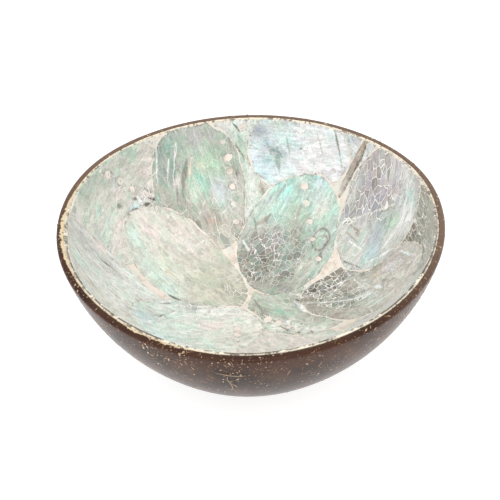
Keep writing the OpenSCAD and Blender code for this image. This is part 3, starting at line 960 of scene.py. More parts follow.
# how patches and cracked zones waver and fall off, and how slits and rings waver in mm
WOBBLE_WAVES = (2.2, 1.6)
LEAF_APART = 7.3
CELLS_APART = 5.0
PLACES_APART = 11.0
SPOT_WOBBLE = 0.35
SPOT_FALL = 1.6
CRACK_GAIN = 1.6
SLIT_WOBBLE = 0.5
RING_WOBBLE = 0.6
RING_STRETCH = 1.4
MINT = (210, 236, 224)
TURQUOISE = (164, 238, 230)
SKY = (192, 226, 238)
GREEN = (188, 224, 196)
TEAL = (128, 168, 158)
GREY_GREEN = (190, 199, 187)
CREAM = (238, 233, 220)
PINK = (240, 224, 220)
ORANGE = (244, 212, 186)
LILAC = (212, 204, 216)
PURPLE = (166, 150, 160)
WHITE = (250, 251, 253)
GREY = (190, 192, 188)
OLIVE = (140, 132, 108)
BROWN = (120, 100, 80)
DARK = (58, 48, 40)
CELL_PINK = (192, 168, 164)
CELL_LILAC = (178, 176, 200)
CELL_SLATE = (138, 150, 141)
CRACK_CREAM = (254, 252, 247)
# the hues that mother of pearl plays through, and where each one comes in
PEARL_HUES = ((0.3, TURQUOISE), (0.42, GREEN), (0.5, CREAM), (0.58, PINK), (0.68, LILAC), (0.78, SKY))

# for each leaf: the colours of its lower and upper end, length, width in mm and turn of its cells, then soft
# patches (place, size, colour), zones of cracks (place, size, strength), narrow slits (both ends, width,
# colour) and rings (place, radius, width, colour). Places, and sizes of patches and zones, are in parts of
# the leaf's half sizes. Widths and radii are in mm.
Look = namedtuple("Look", "low high cell patches cracks slits rings", defaults=((), (), (), ()))
LOOKS = {
    "floor_mid": Look(
        low=(236, 232, 222), high=(219, 236, 228), cell=(3.2, 1.5, 0),
        patches=[(0.6, -0.53, 0.4, (212, 244, 240)), (0.3, 0.0, 0.35, (229, 248, 234)),
                 (-0.59, -0.34, 0.35, (216, 212, 198)), (-0.06, 0.8, 0.25, (226, 228, 222)),
                 (-0.3, 0.2, 0.25, PINK), (0.75, 0.1, 0.2, SKY)],
        cracks=[(-0.06, 0.85, 0.3, 1.0), (-0.5, 0.7, 0.3, 1.0), (0.5, 0.3, 0.25, 0.9),
                (-0.56, -0.3, 0.2, 0.8), (0.8, 0.2, 0.2, 0.5)],
        slits=[(0.06, 0.95, -0.3, 0.9, 0.35, DARK), (-0.4, 0.88, -0.72, 0.8, 0.3, OLIVE),
               (0.75, -0.12, 0.6, 0.05, 0.7, WHITE), (0.55, 0.1, 0.42, 0.3, 0.7, WHITE),
               (0.35, 0.38, 0.2, 0.6, 0.6, WHITE), (0.7, 0.0, 0.6, 0.12, 0.3, BROWN),
               (0.5, 0.26, 0.4, 0.4, 0.3, DARK), (0.3, 0.52, 0.18, 0.68, 0.3, BROWN),
               (0.4, 0.8, 0.2, 0.9, 0.35, DARK)],
        rings=[(-0.58, -0.3, 0.7, 0.3, BROWN), (-0.56, -0.52, 0.6, 0.3, BROWN)]),
    "floor_left": Look(
        low=(190, 189, 167), high=(228, 223, 212), cell=(3.4, 1.8, 25),
        patches=[(0.3, -0.6, 0.35, (212, 236, 222)), (0.75, -0.35, 0.25, MINT), (0.64, 0.12, 0.22, PINK),
                 (0.17, 0.53, 0.25, PINK), (0.13, -0.18, 0.35, (228, 229, 212)),
                 (0.08, -0.38, 0.05, ORANGE), (-0.43, 0.15, 0.35, (197, 196, 174)),
                 (-0.1, -0.75, 0.22, MINT), (-0.75, 0.2, 0.25, (184, 181, 160)),
                 (0.4, 0.3, 0.25, (224, 220, 208))],
        cracks=[(-0.85, 0.25, 0.35, 0.8), (-0.5, 0.3, 0.4, 0.3)],
        slits=[(-0.12, -0.93, -0.3, -0.82, 0.7, DARK), (-0.3, -0.82, -0.42, -0.74, 0.4, OLIVE),
               (0.98, 0.1, 0.75, 0.52, 0.25, WHITE), (0.6, 0.78, -0.2, 0.95, 0.2, WHITE)]),
    "right": Look(
        low=(197, 203, 196), high=(202, 198, 198), cell=(4.8, 2.0, -20),
        patches=[(0.19, -0.55, 0.32, (152, 144, 146)), (0.28, -0.05, 0.28, (190, 172, 184)),
                 (0.43, 0.12, 0.18, (186, 168, 180)), (0.02, -0.3, 0.22, (174, 164, 176)),
                 (-0.2, -0.65, 0.3, (142, 145, 138)), (-0.11, 0.2, 0.28, (158, 184, 174)),
                 (-0.39, 0.18, 0.25, (156, 175, 184)), (-0.8, -0.12, 0.3, (198, 203, 194)),
                 (0.42, 0.5, 0.25, (206, 220, 220)), (0.11, 0.75, 0.26, WHITE),
                 (0.54, -0.78, 0.3, (172, 158, 162)), (0.62, 0.1, 0.2, WHITE),
                 (0.85, -0.1, 0.25, (206, 202, 206)), (-0.03, 0.45, 0.15, GREEN), (-0.58, 0.35, 0.2, SKY)],
        cracks=[(0.2, -0.4, 0.65, 1.0), (-0.26, -0.7, 0.35, 0.9), (0.48, 0.2, 0.4, 0.8),
                (0.7, -0.3, 0.45, 0.9), (-0.35, 0.3, 0.3, 0.3)],
        slits=[(-0.5, -0.78, -0.12, -0.25, 0.6, CREAM), (-0.12, -0.25, 0.18, 0.24, 0.6, CREAM),
               (-0.15, -0.2, 0.15, 0.3, 0.35, BROWN), (0.62, 0.35, 0.11, 0.62, 0.6, WHITE),
               (0.11, 0.62, -0.44, 0.55, 0.6, WHITE), (0.43, 0.62, -0.07, 0.78, 0.35, GREY),
               (0.78, -0.04, 0.53, 0.66, 0.4, WHITE), (0.53, 0.66, 0.07, 0.9, 0.45, WHITE),
               (-0.42, -0.37, -0.5, -0.2, 0.9, OLIVE), (-0.44, -0.6, -0.46, -0.2, 0.35, BROWN),
               (-0.55, -0.62, -0.58, -0.15, 0.35, OLIVE), (-0.63, -0.5, -0.63, 0.1, 0.4, WHITE),
               (0.06, 0.3, -0.26, 0.4, 0.4, TEAL), (-0.93, -0.25, -0.85, 0.35, 0.45, (78, 68, 50)),
               (-0.72, 0.42, -0.3, 0.86, 0.5, WHITE)]),
    "centre": Look(
        low=(144, 142, 128), high=(188, 222, 210), cell=(2.3, 1.6, 20),
        patches=[(0.56, -0.57, 0.3, (130, 222, 214)), (0.4, -0.3, 0.3, (154, 220, 206)),
                 (0.33, -0.14, 0.3, (156, 190, 164)), (0.91, 0.07, 0.25, SKY),
                 (0.75, 0.1, 0.2, (184, 220, 212)), (0.05, 0.0, 0.3, (132, 152, 130)),
                 (-0.34, -0.28, 0.38, (94, 74, 58)), (-0.6, -0.24, 0.35, (104, 90, 74)),
                 (-0.56, 0.37, 0.3, (124, 128, 118)), (-0.11, 0.36, 0.22, (126, 146, 134)),
                 (-0.4, -0.68, 0.3, (100, 87, 69)), (-0.15, -0.2, 0.2, (146, 134, 140)),
                 (0.55, 0.35, 0.25, (212, 222, 210)), (0.17, 0.62, 0.1, (150, 200, 178)),
                 (0.36, 0.6, 0.07, TEAL), (0.26, 0.42, 0.05, (120, 140, 136)),
                 (-0.3, 0.62, 0.2, (208, 202, 188))],
        cracks=[(-0.45, -0.25, 0.6, 1.0), (-0.3, 0.35, 0.45, 0.9), (0.1, 0.1, 0.3, 0.35),
                (0.1, 0.75, 0.2, 0.6)],
        slits=[(0.16, -0.64, -0.08, -0.78, 1.1, (92, 78, 60)), (0.0, -0.9, -0.2, -0.7, 0.5, DARK),
               (0.02, 0.8, -0.16, 0.9, 0.8, DARK), (0.5, -0.1, 0.02, -0.02, 0.35, OLIVE),
               (0.2, -0.82, 0.5, -0.78, 0.45, TEAL), (0.2, 0.12, -0.1, 0.22, 0.5, OLIVE),
               (0.72, -0.62, 0.3, -0.72, 0.5, TEAL)],
        rings=[(0.17, 0.66, 4.4, 0.5, DARK), (0.12, 0.7, 3.3, 0.3, BROWN)]),
    "back_left": Look(
        low=(170, 161, 142), high=(150, 168, 158), cell=(4.5, 2.2, 0),
        patches=[(0.67, -0.62, 0.28, (104, 140, 128)), (0.45, -0.5, 0.3, (114, 146, 132)),
                 (0.25, 0.39, 0.32, (160, 208, 170)), (0.5, 0.2, 0.25, (172, 200, 184)),
                 (0.1, 0.05, 0.25, (160, 222, 202)), (-0.05, -0.15, 0.25, (194, 220, 198)),
                 (-0.55, 0.04, 0.3, (156, 143, 122)), (-0.2, 0.4, 0.25, (180, 202, 212)),
                 (0.75, 0.3, 0.25, (152, 160, 158)), (0.2, -0.45, 0.12, PINK),
                 (0.3, 0.2, 0.15, (220, 232, 200)), (-0.4, 0.45, 0.2, (174, 186, 178))],
        cracks=[(-0.7, 0.1, 0.4, 0.6), (0.5, -0.5, 0.3, 0.3), (0.0, 0.7, 0.3, 0.4)],
        slits=[(0.92, -0.52, 0.25, -0.82, 1.5, (112, 146, 136)),
               (0.78, -0.36, 0.1, -0.62, 0.9, (110, 142, 130)), (0.99, -0.56, 0.27, -0.91, 0.4, WHITE),
               (0.83, -0.17, 0.17, -0.54, 0.4, WHITE), (0.7, -0.4, 0.2, -0.68, 0.28, WHITE),
               (0.46, -0.08, 0.06, -0.4, 1.1, DARK), (0.5, 0.06, 0.1, -0.22, 0.4, ORANGE),
               (0.85, -0.46, 0.3, -0.7, 0.35, (74, 104, 94)), (0.62, -0.26, 0.2, -0.5, 0.4, (84, 112, 102)),
               (0.06, -0.4, -0.29, -0.44, 0.5, (84, 108, 94)),
               (0.16, -0.47, -0.19, -0.68, 0.4, (84, 100, 86)), (-0.45, -0.02, -0.34, 0.2, 0.4, OLIVE),
               (-0.5, 0.06, -0.38, 0.3, 0.35, (150, 120, 96)),
               (-0.5, -0.15, -0.62, 0.12, 0.8, (178, 146, 124)), (0.8, 0.65, 0.8, 0.68, 1.2, PINK),
               (0.5, 0.8, 0.52, 0.84, 1.2, PINK), (0.47, 0.04, 0.46, 0.06, 0.8, PINK),
               (0.02, 0.9, -0.06, 0.88, 0.8, DARK), (-0.34, 0.86, -0.5, 0.76, 0.35, BROWN)]),
    "right_low": Look(
        low=(136, 130, 112), high=(216, 205, 198), cell=(2.6, 1.7, 10),
        patches=[(-0.82, -0.29, 0.28, (84, 74, 58)), (-0.57, -0.73, 0.25, (84, 72, 54)),
                 (-0.07, -0.09, 0.3, (234, 228, 220)), (0.77, 0.02, 0.28, (231, 216, 210)),
                 (0.2, 0.6, 0.3, (200, 203, 193)), (-0.34, 0.24, 0.3, (126, 130, 114)),
                 (0.35, -0.35, 0.25, (216, 206, 210)), (0.05, -0.6, 0.2, (130, 120, 100)),
                 (0.0, 0.35, 0.2, (186, 206, 194)), (0.1, -0.3, 0.12, (206, 196, 168)),
                 (0.45, 0.4, 0.2, PINK)],
        cracks=[(-0.75, -0.3, 0.55, 1.0), (-0.3, 0.2, 0.5, 1.0), (0.2, 0.1, 0.45, 0.6),
                (0.75, 0.0, 0.35, 0.5)],
        slits=[(0.45, -0.75, 0.85, -0.2, 0.6, WHITE), (0.85, -0.2, 0.86, 0.3, 0.6, WHITE),
               (-0.75, -0.78, -0.1, -0.9, 0.7, DARK), (0.6, 0.55, 0.1, 0.8, 0.5, WHITE),
               (0.1, 0.05, 0.25, 0.2, 0.8, WHITE), (-0.64, -0.36, -0.52, -0.22, 1.1, DARK),
               (-0.4, 0.02, -0.3, 0.14, 1.0, (84, 84, 70)), (-0.46, -0.56, -0.36, -0.44, 0.9, (92, 84, 66)),
               (-0.96, 0.0, -0.2, -0.55, 0.32, WHITE), (-0.75, 0.34, -0.28, -0.66, 0.3, WHITE),
               (-0.5, 0.6, 0.1, -0.25, 0.3, WHITE), (-0.88, 0.2, 0.2, 0.3, 0.32, WHITE),
               (-0.42, -0.72, 0.12, 0.4, 0.3, WHITE)]),
    "left": Look(
        low=(242, 245, 237), high=(216, 215, 211), cell=(6.0, 1.0, 0),
        patches=[(0.37, 0.53, 0.35, (213, 209, 211)), (0.54, -0.56, 0.3, MINT),
                 (-0.11, 0.52, 0.2, (196, 195, 190)), (-0.5, -0.14, 0.35, (240, 244, 234)),
                 (0.1, -0.2, 0.3, (216, 224, 218)), (0.75, 0.1, 0.25, (210, 210, 206)),
                 (0.2, 0.8, 0.2, PINK)],
        cracks=[(-0.05, 0.5, 0.25, 0.7), (0.5, 0.4, 0.4, 0.4)],
        # the first slit is painted shade, a grey streak beside the leaf's boundary
        slits=[(0.25, 0.42, -0.2, 0.55, 0.5, (110, 106, 100)), (0.75, 0.72, 0.1, 0.86, 0.5, PINK),
               (0.4, 0.3, 0.05, 0.36, 0.35, GREY), (0.85, 0.5, 0.4, 0.7, 0.5, WHITE)]),
    "sliver": Look(
        low=(190, 178, 168), high=(150, 134, 116), cell=(3.0, 1.4, 0),
        patches=[(0.3, 0.0, 0.5, (170, 147, 136)), (-0.8, 0.0, 0.4, PINK)],
        cracks=[(0.0, 0.0, 1.0, 0.2)],
        slits=[(0.9, 0.4, -0.6, 0.5, 0.4, DARK)]),
    "upper_left": Look(
        low=(220, 221, 210), high=(196, 195, 185), cell=(3.2, 2.4, 30),
        patches=[(0.19, -0.27, 0.25, (218, 212, 208)), (0.07, -0.57, 0.35, (170, 180, 167)),
                 (-0.32, -0.78, 0.3, (164, 177, 164)), (-0.45, 0.05, 0.3, (212, 230, 216)),
                 (-0.08, 0.02, 0.12, (206, 194, 184)), (0.8, 0.16, 0.25, PINK), (0.1, 0.42, 0.16, SKY),
                 (-0.6, 0.45, 0.25, PINK), (0.6, -0.35, 0.3, (182, 190, 179)), (0.5, 0.45, 0.2, PINK),
                 (-0.3, 0.3, 0.2, PINK), (0.55, 0.1, 0.15, (206, 190, 180)),
                 (-0.7, -0.1, 0.2, (196, 206, 198))],
        cracks=[(0.35, 0.55, 0.3, 0.8), (0.8, 0.2, 0.3, 0.5), (-0.5, 0.3, 0.4, 0.3)],
        slits=[(-0.06, 0.05, -0.01, 0.11, 1.2, (104, 82, 60)), (0.14, -0.68, 0.15, -0.66, 1.1, CREAM),
               (0.22, 0.24, 0.32, 0.42, 0.7, DARK), (0.22, 0.46, 0.36, 0.62, 0.8, DARK),
               (0.08, 0.36, 0.16, 0.5, 0.9, (90, 106, 108)), (0.3, 0.3, 0.26, 0.5, 0.8, WHITE),
               (-0.02, 0.32, 0.05, 0.48, 0.7, (90, 106, 108)), (-0.2, -0.3, -0.7, 0.0, 0.5, PINK),
               (0.3, -0.2, -0.5, 0.3, 0.4, PINK), (0.12, 0.55, 0.2, 0.75, 0.6, DARK),
               (0.4, 0.5, 0.48, 0.7, 0.6, DARK), (0.3, 0.68, 0.44, 0.82, 0.7, WHITE),
               (0.45, 0.3, 0.5, 0.5, 0.5, (90, 106, 108))],
        rings=[(-0.08, 0.42, 1.3, 0.3, TEAL)]),
    "back": Look(
        low=(216, 232, 237), high=(240, 243, 250), cell=(2.2, 1.7, 0),
        patches=[(-0.82, -0.41, 0.25, (126, 145, 162)), (-0.64, 0.41, 0.3, (200, 231, 244)),
                 (-0.31, -0.22, 0.28, (200, 234, 234)), (0.38, -0.06, 0.42, (254, 254, 255)),
                 (0.53, 0.36, 0.3, (246, 245, 255)), (-0.42, 0.19, 0.18, (150, 196, 188)),
                 (0.17, 0.45, 0.25, (240, 234, 238)), (-0.46, -0.6, 0.2, (190, 206, 198)),
                 (0.0, -0.52, 0.25, (236, 238, 242)), (-0.64, -0.08, 0.15, (186, 196, 216)),
                 (0.6, 0.75, 0.35, (238, 238, 240))],
        cracks=[(0.35, 0.0, 0.5, 0.25), (-0.37, 0.1, 0.33, 0.5), (0.6, 0.6, 0.4, 0.5)],
        slits=[(0.66, -0.6, 0.8, 0.05, 0.45, (84, 88, 82)), (0.8, 0.05, 0.86, 0.3, 0.4, GREY),
               (-0.48, 0.19, -0.37, 0.5, 0.9, TEAL), (0.0, -0.08, 0.04, -0.04, 0.5, DARK),
               (-0.66, -0.17, -0.55, 0.19, 0.6, (120, 140, 150)), (-0.28, -0.34, -0.19, 0.1, 0.5, TEAL),
               (-0.6, -0.03, -0.35, 0.19, 1.0, (112, 148, 150)),
               (-0.46, -0.03, -0.37, 0.55, 0.8, (122, 160, 154)), (0.3, -0.5, 0.45, 0.1, 0.35, GREY)]),
    "front": Look(
        low=(206, 204, 186), high=(216, 222, 212), cell=(2.6, 1.9, 15),
        patches=[(0.4, -0.4, 0.35, (186, 216, 204)), (-0.2, 0.4, 0.35, GREY_GREEN),
                 (0.3, 0.35, 0.25, (150, 142, 118)), (0.65, -0.1, 0.25, LILAC), (-0.5, -0.4, 0.3, PINK)],
        cracks=[(0.3, 0.35, 0.4, 0.9), (-0.5, 0.3, 0.3, 0.4)],
        slits=[(-0.1, -0.6, -0.6, -0.4, 0.5, TEAL)]),
    "side_right": Look(
        low=(206, 208, 204), high=(204, 202, 200), cell=(3.2, 2.2, -20),
        patches=[(0.4, -0.4, 0.35, GREY_GREEN), (-0.2, -0.7, 0.3, (222, 218, 214)),
                 (0.2, 0.4, 0.35, PURPLE), (-0.5, 0.2, 0.35, SKY), (0.7, 0.2, 0.3, LILAC)],
        cracks=[(0.2, 0.4, 0.5, 0.9), (-0.4, -0.4, 0.4, 0.4)]),
    "rim_right": Look(
        low=(144, 133, 116), high=(158, 151, 139), cell=(4.6, 1.7, 0),
        patches=[(-0.85, -0.15, 0.3, (142, 130, 114)), (-0.45, 0.32, 0.4, (130, 110, 90)),
                 (-0.25, 0.6, 0.35, (128, 110, 90)), (-0.24, -0.55, 0.35, (172, 169, 159)),
                 (0.61, -0.36, 0.35, (178, 174, 163)), (-0.5, -0.3, 0.25, (146, 132, 116)),
                 (0.2, 0.2, 0.3, (120, 106, 88)), (-0.7, -0.1, 0.3, (178, 176, 168))],
        cracks=[(-0.35, 0.2, 0.75, 1.0), (-0.65, -0.3, 0.45, 1.0), (0.4, -0.1, 0.5, 0.9)]),
    "floor_right": Look(
        low=(172, 184, 166), high=(186, 187, 173), cell=(2.2, 1.6, 30),
        patches=[(-0.41, 0.05, 0.4, (158, 178, 157)), (-0.14, 0.65, 0.3, (250, 248, 240)),
                 (0.37, 0.68, 0.35, (250, 248, 240)), (0.3, 0.0, 0.3, (168, 171, 155)),
                 (-0.7, 0.3, 0.25, (150, 144, 120))],
        cracks=[(0.0, 0.6, 0.5, 0.7), (0.4, -0.2, 0.4, 0.8), (-0.1, -0.45, 0.35, 1.0)],
        slits=[(-0.9, 0.05, -0.55, 0.5, 0.6, DARK), (-0.5, 0.5, -0.1, 0.8, 0.5, BROWN),
               (-0.16, -0.32, 0.06, -0.1, 1.0, WHITE), (-0.3, -0.46, -0.1, -0.42, 0.5, DARK),
               (0.02, -0.3, 0.14, -0.06, 0.5, DARK), (-0.12, 0.78, -0.02, 0.84, 0.6, DARK),
               (0.14, 0.82, 0.22, 0.88, 0.6, DARK), (0.38, 0.72, 0.5, 0.8, 0.5, BROWN),
               (-0.5, -0.5, 0.4, -0.05, 0.3, WHITE), (-0.05, -0.6, 0.3, 0.3, 0.3, WHITE),
               (-0.7, -0.05, -0.1, 0.2, 0.4, (150, 190, 170)),
               (0.2, -0.35, 0.3, -0.25, 0.8, (110, 112, 92))]),
    "floor_front": Look(
        low=(232, 220, 211), high=(216, 220, 208), cell=(2.6, 1.8, 40),
        patches=[(-0.4, -0.51, 0.35, (222, 214, 206)), (-0.14, -0.36, 0.3, PINK), (0.4, 0.0, 0.4, MINT),
                 (0.0, 0.4, 0.35, GREY_GREEN)],
        cracks=[(-0.4, -0.2, 0.4, 0.5), (0.4, 0.3, 0.4, 0.5)]),
    "front_left": Look(
        low=(222, 226, 216), high=(206, 212, 202), cell=(3.0, 2.0, 10),
        patches=[(-0.36, 0.66, 0.35, (228, 228, 218)), (0.3, 0.0, 0.4, MINT), (-0.2, -0.4, 0.35, GREEN),
                 (0.6, -0.4, 0.3, PINK), (0.0, 0.3, 0.25, SKY)],
        cracks=[(0.4, 0.2, 0.4, 0.5), (-0.5, -0.2, 0.4, 0.3)]),
    "front_right": Look(
        low=(186, 200, 184), high=(198, 216, 206), cell=(2.4, 1.8, -15),
        patches=[(0.3, 0.3, 0.4, TURQUOISE), (-0.3, -0.2, 0.4, GREEN), (0.5, -0.5, 0.3, LILAC),
                 (-0.6, 0.4, 0.3, BROWN)],
        cracks=[(-0.5, 0.3, 0.5, 1.0), (0.3, -0.3, 0.4, 0.4)]),
    "back_strip": Look(
        low=(186, 204, 190), high=(222, 228, 222), cell=(3.0, 1.8, 0),
        patches=[(0.75, 0.0, 0.25, WHITE), (0.4, 0.0, 0.3, (166, 200, 176)),
                 (0.68, -0.54, 0.3, (224, 220, 216)), (-0.2, 0.36, 0.12, (150, 130, 100))],
        cracks=[(0.5, 0.1, 0.4, 0.5), (-0.3, 0.2, 0.3, 0.6)],
        slits=[(0.78, -0.21, 0.62, -0.04, 0.45, DARK), (0.72, 0.06, 0.66, 0.1, 0.6, DARK),
               (0.63, -0.11, 0.33, 0.09, 0.5, TEAL), (0.5, -0.2, 0.2, 0.0, 0.35, DARK),
               (-0.1, 0.36, -0.3, 0.35, 0.6, (120, 100, 74))]),
    "wedge": Look(
        low=(214, 222, 222), high=(196, 212, 216), cell=(2.2, 1.6, 0),
        patches=[(0.2, 0.1, 0.5, (188, 206, 210)), (-0.5, 0.3, 0.4, WHITE),
                 (0.0, 0.8, 0.35, (208, 204, 206))],
        cracks=[(0.0, 0.0, 0.8, 0.3), (0.0, 0.8, 0.4, 0.9)]),
    "floor_dip": Look(
        low=(226, 226, 212), high=(220, 228, 218), cell=(3.0, 2.0, 0),
        patches=[(0.3, 0.1, 0.4, MINT), (-0.4, -0.1, 0.4, PINK), (0.0, 0.5, 0.35, CREAM)],
        cracks=[(0.0, 0.0, 0.5, 0.3)]),
}


def nacre_group():
    """Mother of pearl: a play of colour, growth lines, flakes, hair cracks and cells between crack lines."""
    tree, given = new_tree("pressed_nacre", "ShaderNodeTree", {
        "Color": ("Tint", "Cell brown", "Cell blue"), "Vector": ("Place", "Cells"),
        "Float": ("Cracks", "From edge", "Line width", "Cell contrast", "Colour play", "Growth lines")},
        {"Color": ("Color",), "Float": ("Roughness", "Height")})
    place, cells, cracks = given["Place"], given["Cells"], given["Cracks"]

    def stretched(along, across):
        return vector(tree, "MULTIPLY", place, (along, across, 1.0))

    def warped(start, scale, amount):
        clouds = node_of(tree, "ShaderNodeTexNoise", Vector=start, Scale=scale, Detail=2.0).outputs["Color"]
        off = vector(tree, "SUBTRACT", clouds, (0.5, 0.5, 0.5))
        return vector(tree, "ADD", start, vector(tree, "MULTIPLY", off, (amount, amount, 0.0)))

    def voronoi(start, scale, feature):
        return node_of(tree, "ShaderNodeTexVoronoi", {"feature": feature}, Vector=start, Scale=scale).outputs

    def to_edge(start, scale=1.0):
        return voronoi(start, scale, "DISTANCE_TO_EDGE")["Distance"]

    def shaded(colour, light):
        grey = node_of(tree, "ShaderNodeCombineColor", Red=light, Green=light, Blue=light).outputs[0]
        return mix(tree, 1.0, colour, grey, "MULTIPLY")

    def swing(value, *depths):
        return times(tree, calc(tree, "SUBTRACT", value, 0.5), *depths)

    # crack lines between cells, uneven in width, and hair cracks inside some of the cells
    bent = warped(warped(cells, 0.22, 2.4), 0.9, 0.35)
    edge = to_edge(bent)
    dice = node_of(tree, "ShaderNodeSeparateColor", Color=voronoi(bent, 1.0, "F1")["Color"]).outputs
    fine = to_edge(bent, 2.2)
    uneven = calc(tree, "MULTIPLY_ADD", cloudy(tree, cells, 0.8, 3.0, 0.6), 2.4, -0.35)
    width = times(tree, given["Line width"], calc(tree, "MAXIMUM", uneven, 0.1))
    line = times(tree, inverse(tree, fade(tree, edge, times(tree, width, 0.5), width)), cracks)
    some = fade(tree, cloudy(tree, cells, 0.6, 2.0), 0.48, 0.6)
    hair = times(tree, inverse(tree, fade(tree, fine, 0.0, times(tree, width, 0.8))), cracks, some)

    # long pale and dark hair cracks, here and there over the whole leaf
    long_edge = to_edge(warped(stretched(0.12, 0.24), 1.1, 0.4))
    here = fade(tree, cloudy(tree, place, 0.16, 2.0), 0.38, 0.54)
    long_hair = times(tree, inverse(tree, fade(tree, long_edge, 0.003, 0.013)), here)
    dark_edge = to_edge(warped(stretched(0.16, 0.4), 1.3, 0.9))
    there = fade(tree, cloudy(tree, place, 0.24, 3.0), 0.5, 0.62)
    dark_hair = times(tree, inverse(tree, fade(tree, dark_edge, 0.004, 0.03)), there)

    # growth lines, broad play of colour, fine speckle and flakes
    streaks = cloudy(tree, stretched(0.09, 1.3), 1.0, 5.0, 0.68)
    play = cloudy(tree, stretched(0.14, 0.24), 1.0, 5.0, 0.62)
    speckle = cloudy(tree, place, 1.5, 5.0, 0.7)
    flakes = voronoi(warped(stretched(0.42, 0.8), 1.0, 0.8), 1.0, "F1")["Color"]
    flake = node_of(tree, "ShaderNodeSeparateColor", Color=flakes).outputs["Red"]

    hues = tree.nodes.new("ShaderNodeValToRGB")
    while len(hues.color_ramp.elements) < len(PEARL_HUES):
        hues.color_ramp.elements.new(0.5)
    for element, (position, colour) in zip(hues.color_ramp.elements, PEARL_HUES):
        element.position = position
        element.color = paint(colour)
    feed(tree, hues.inputs[0], play)

    # the tone, from the ground up: hues over the tint, light and dark, cells, a brown edge that is partly
    # painted shade between the leaves, pits, cracks with painted shade beside their lines
    whole = inverse(tree, times(tree, cracks, 0.7))
    tone = mix(tree, times(tree, given["Colour play"], whole), given["Tint"], hues.outputs[0])
    light = swing(streaks, given["Growth lines"], 1.5)
    depth = calc(tree, "MULTIPLY_ADD", given["Growth lines"], 1.5, 0.4)
    light = calc(tree, "ADD", light, swing(speckle, depth))
    light = calc(tree, "ADD", light, swing(flake, 0.3))
    tone = shaded(tone, calc(tree, "ADD", 1.0, light))
    broken = times(tree, cracks, given["Cell contrast"])
    tone = shaded(tone, calc(tree, "MULTIPLY_ADD", calc(tree, "SUBTRACT", dice["Red"], 0.55), broken, 1.0))
    browned = times(tree, fade(tree, dice["Green"], 0.55, 0.95), broken, 0.6)
    tone = mix(tree, browned, tone, given["Cell brown"])
    blued = times(tree, fade(tree, dice["Blue"], 0.6, 0.95), broken, 0.5)
    tone = mix(tree, blued, tone, given["Cell blue"])
    # brown stretches along the leaf's edge, partly the shell's own colour and partly painted shade between
    # the leaves
    ragged = fade(tree, cloudy(tree, place, 0.55, 4.0, 0.65), 0.5, 0.62)
    edge_brown_and_shade = inverse(tree, fade(tree, given["From edge"], 0.1, 0.75))
    tone = tinged(tree, tone, BROWN, edge_brown_and_shade, ragged, 0.6)
    pits = voronoi(place, 0.55, "F1")
    pit_dice = node_of(tree, "ShaderNodeSeparateColor", Color=pits["Color"]).outputs["Green"]
    pit = inverse(tree, fade(tree, pits["Distance"], 0.06, 0.16))
    pit = times(tree, pit, fade(tree, pit_dice, 0.86, 0.9))
    tone = tinged(tree, tone, BROWN, pit, 0.7)
    tone = tinged(tree, tone, CRACK_CREAM, hair, 0.5)
    tone = tinged(tree, tone, OLIVE, dark_hair, 0.4)
    tone = tinged(tree, tone, WHITE, long_hair, 0.7)
    # painted shade: a brown band beside each crack line
    crack_shade = times(tree, inverse(tree, fade(tree, edge, width, times(tree, width, 2.8))), cracks)
    tone = tinged(tree, tone, BROWN, crack_shade, 0.35)
    tone = tinged(tree, tone, CRACK_CREAM, line, 0.95)

    output = tree.nodes.new("NodeGroupOutput")
    tree.links.new(tone, output.inputs["Color"])
    tree.links.new(calc(tree, "MULTIPLY_ADD", speckle, 0.2, 0.22), output.inputs["Roughness"])
    tree.links.new(calc(tree, "SUBTRACT", times(tree, streaks, 0.4), line), output.inputs["Height"])
    return tree


NACRE = nacre_group()
# line width as a part of a cell, contrast of broken cells, play of colour, growth lines, two hues of cells
Pearl = namedtuple("Pearl", "width contrast play growth brown blue", defaults=(OLIVE, TEAL))
NACRE_FINISHES = {
    "nacre_pale": Pearl(0.055, 0.5, 0.32, 0.55),
    "nacre_cream": Pearl(0.05, 0.45, 0.2, 0.35),
    "nacre_green": Pearl(0.038, 0.75, 0.34, 0.55),
    "nacre_lilac": Pearl(0.05, 0.65, 0.28, 0.6, CELL_PINK, CELL_LILAC),
    "nacre_grey": Pearl(0.052, 0.85, 0.2, 0.9, OLIVE, CELL_SLATE),
    "nacre_brown": Pearl(0.05, 0.65, 0.12, 0.7, OLIVE, CELL_SLATE),
}


def nacre_finish(slot):
    """Mother of pearl of one kind under clear lacquer."""
    material, tree, shader = material_with_shader(slot + "_lacquered")
    pearl = NACRE_FINISHES[slot]
    nacre = node_of(tree, "ShaderNodeGroup", {"node_tree": NACRE}, Tint=attribute(tree, "tint", "Color"),
                    Cracks=attribute(tree, "cracks"), Place=attribute(tree, "leaf_place", "Vector"),
                    Cells=attribute(tree, "cell_place", "Vector"), From_edge=attribute(tree, "from_edge"),
                    Line_width=pearl.width, Cell_contrast=pearl.contrast, Colour_play=pearl.play,
                    Growth_lines=pearl.growth, Cell_brown=paint(pearl.brown), Cell_blue=paint(pearl.blue))
    tree.links.new(nacre.outputs["Color"], shader.inputs["Base Color"])
    tree.links.new(nacre.outputs["Roughness"], shader.inputs["Roughness"])
    lacquered(shader, INNER_LACQUER, 0.12, INNER_LACQUER_IOR)
    bumped(tree, shader, nacre.outputs["Height"], NACRE_RELIEF, 0.4)
    return material


def spot_share(p, q, place, size, wobble):
    """1 at the middle of a soft spot, falling to 0 about a size away, with an uneven outline."""
    far = np.hypot(p - place[0], q - place[1]) * (1 + SPOT_WOBBLE * wobble)
    return np.exp(-(far / size) ** 2 * SPOT_FALL)


def laid_over(tint, colour, share):
    """A colour laid over the tints of points, by a share from 0 to 1 for each."""
    share = np.clip(share, 0, 1)[:, None]
    return tint * (1 - share) + np.array(paint(colour)[:3]) * share


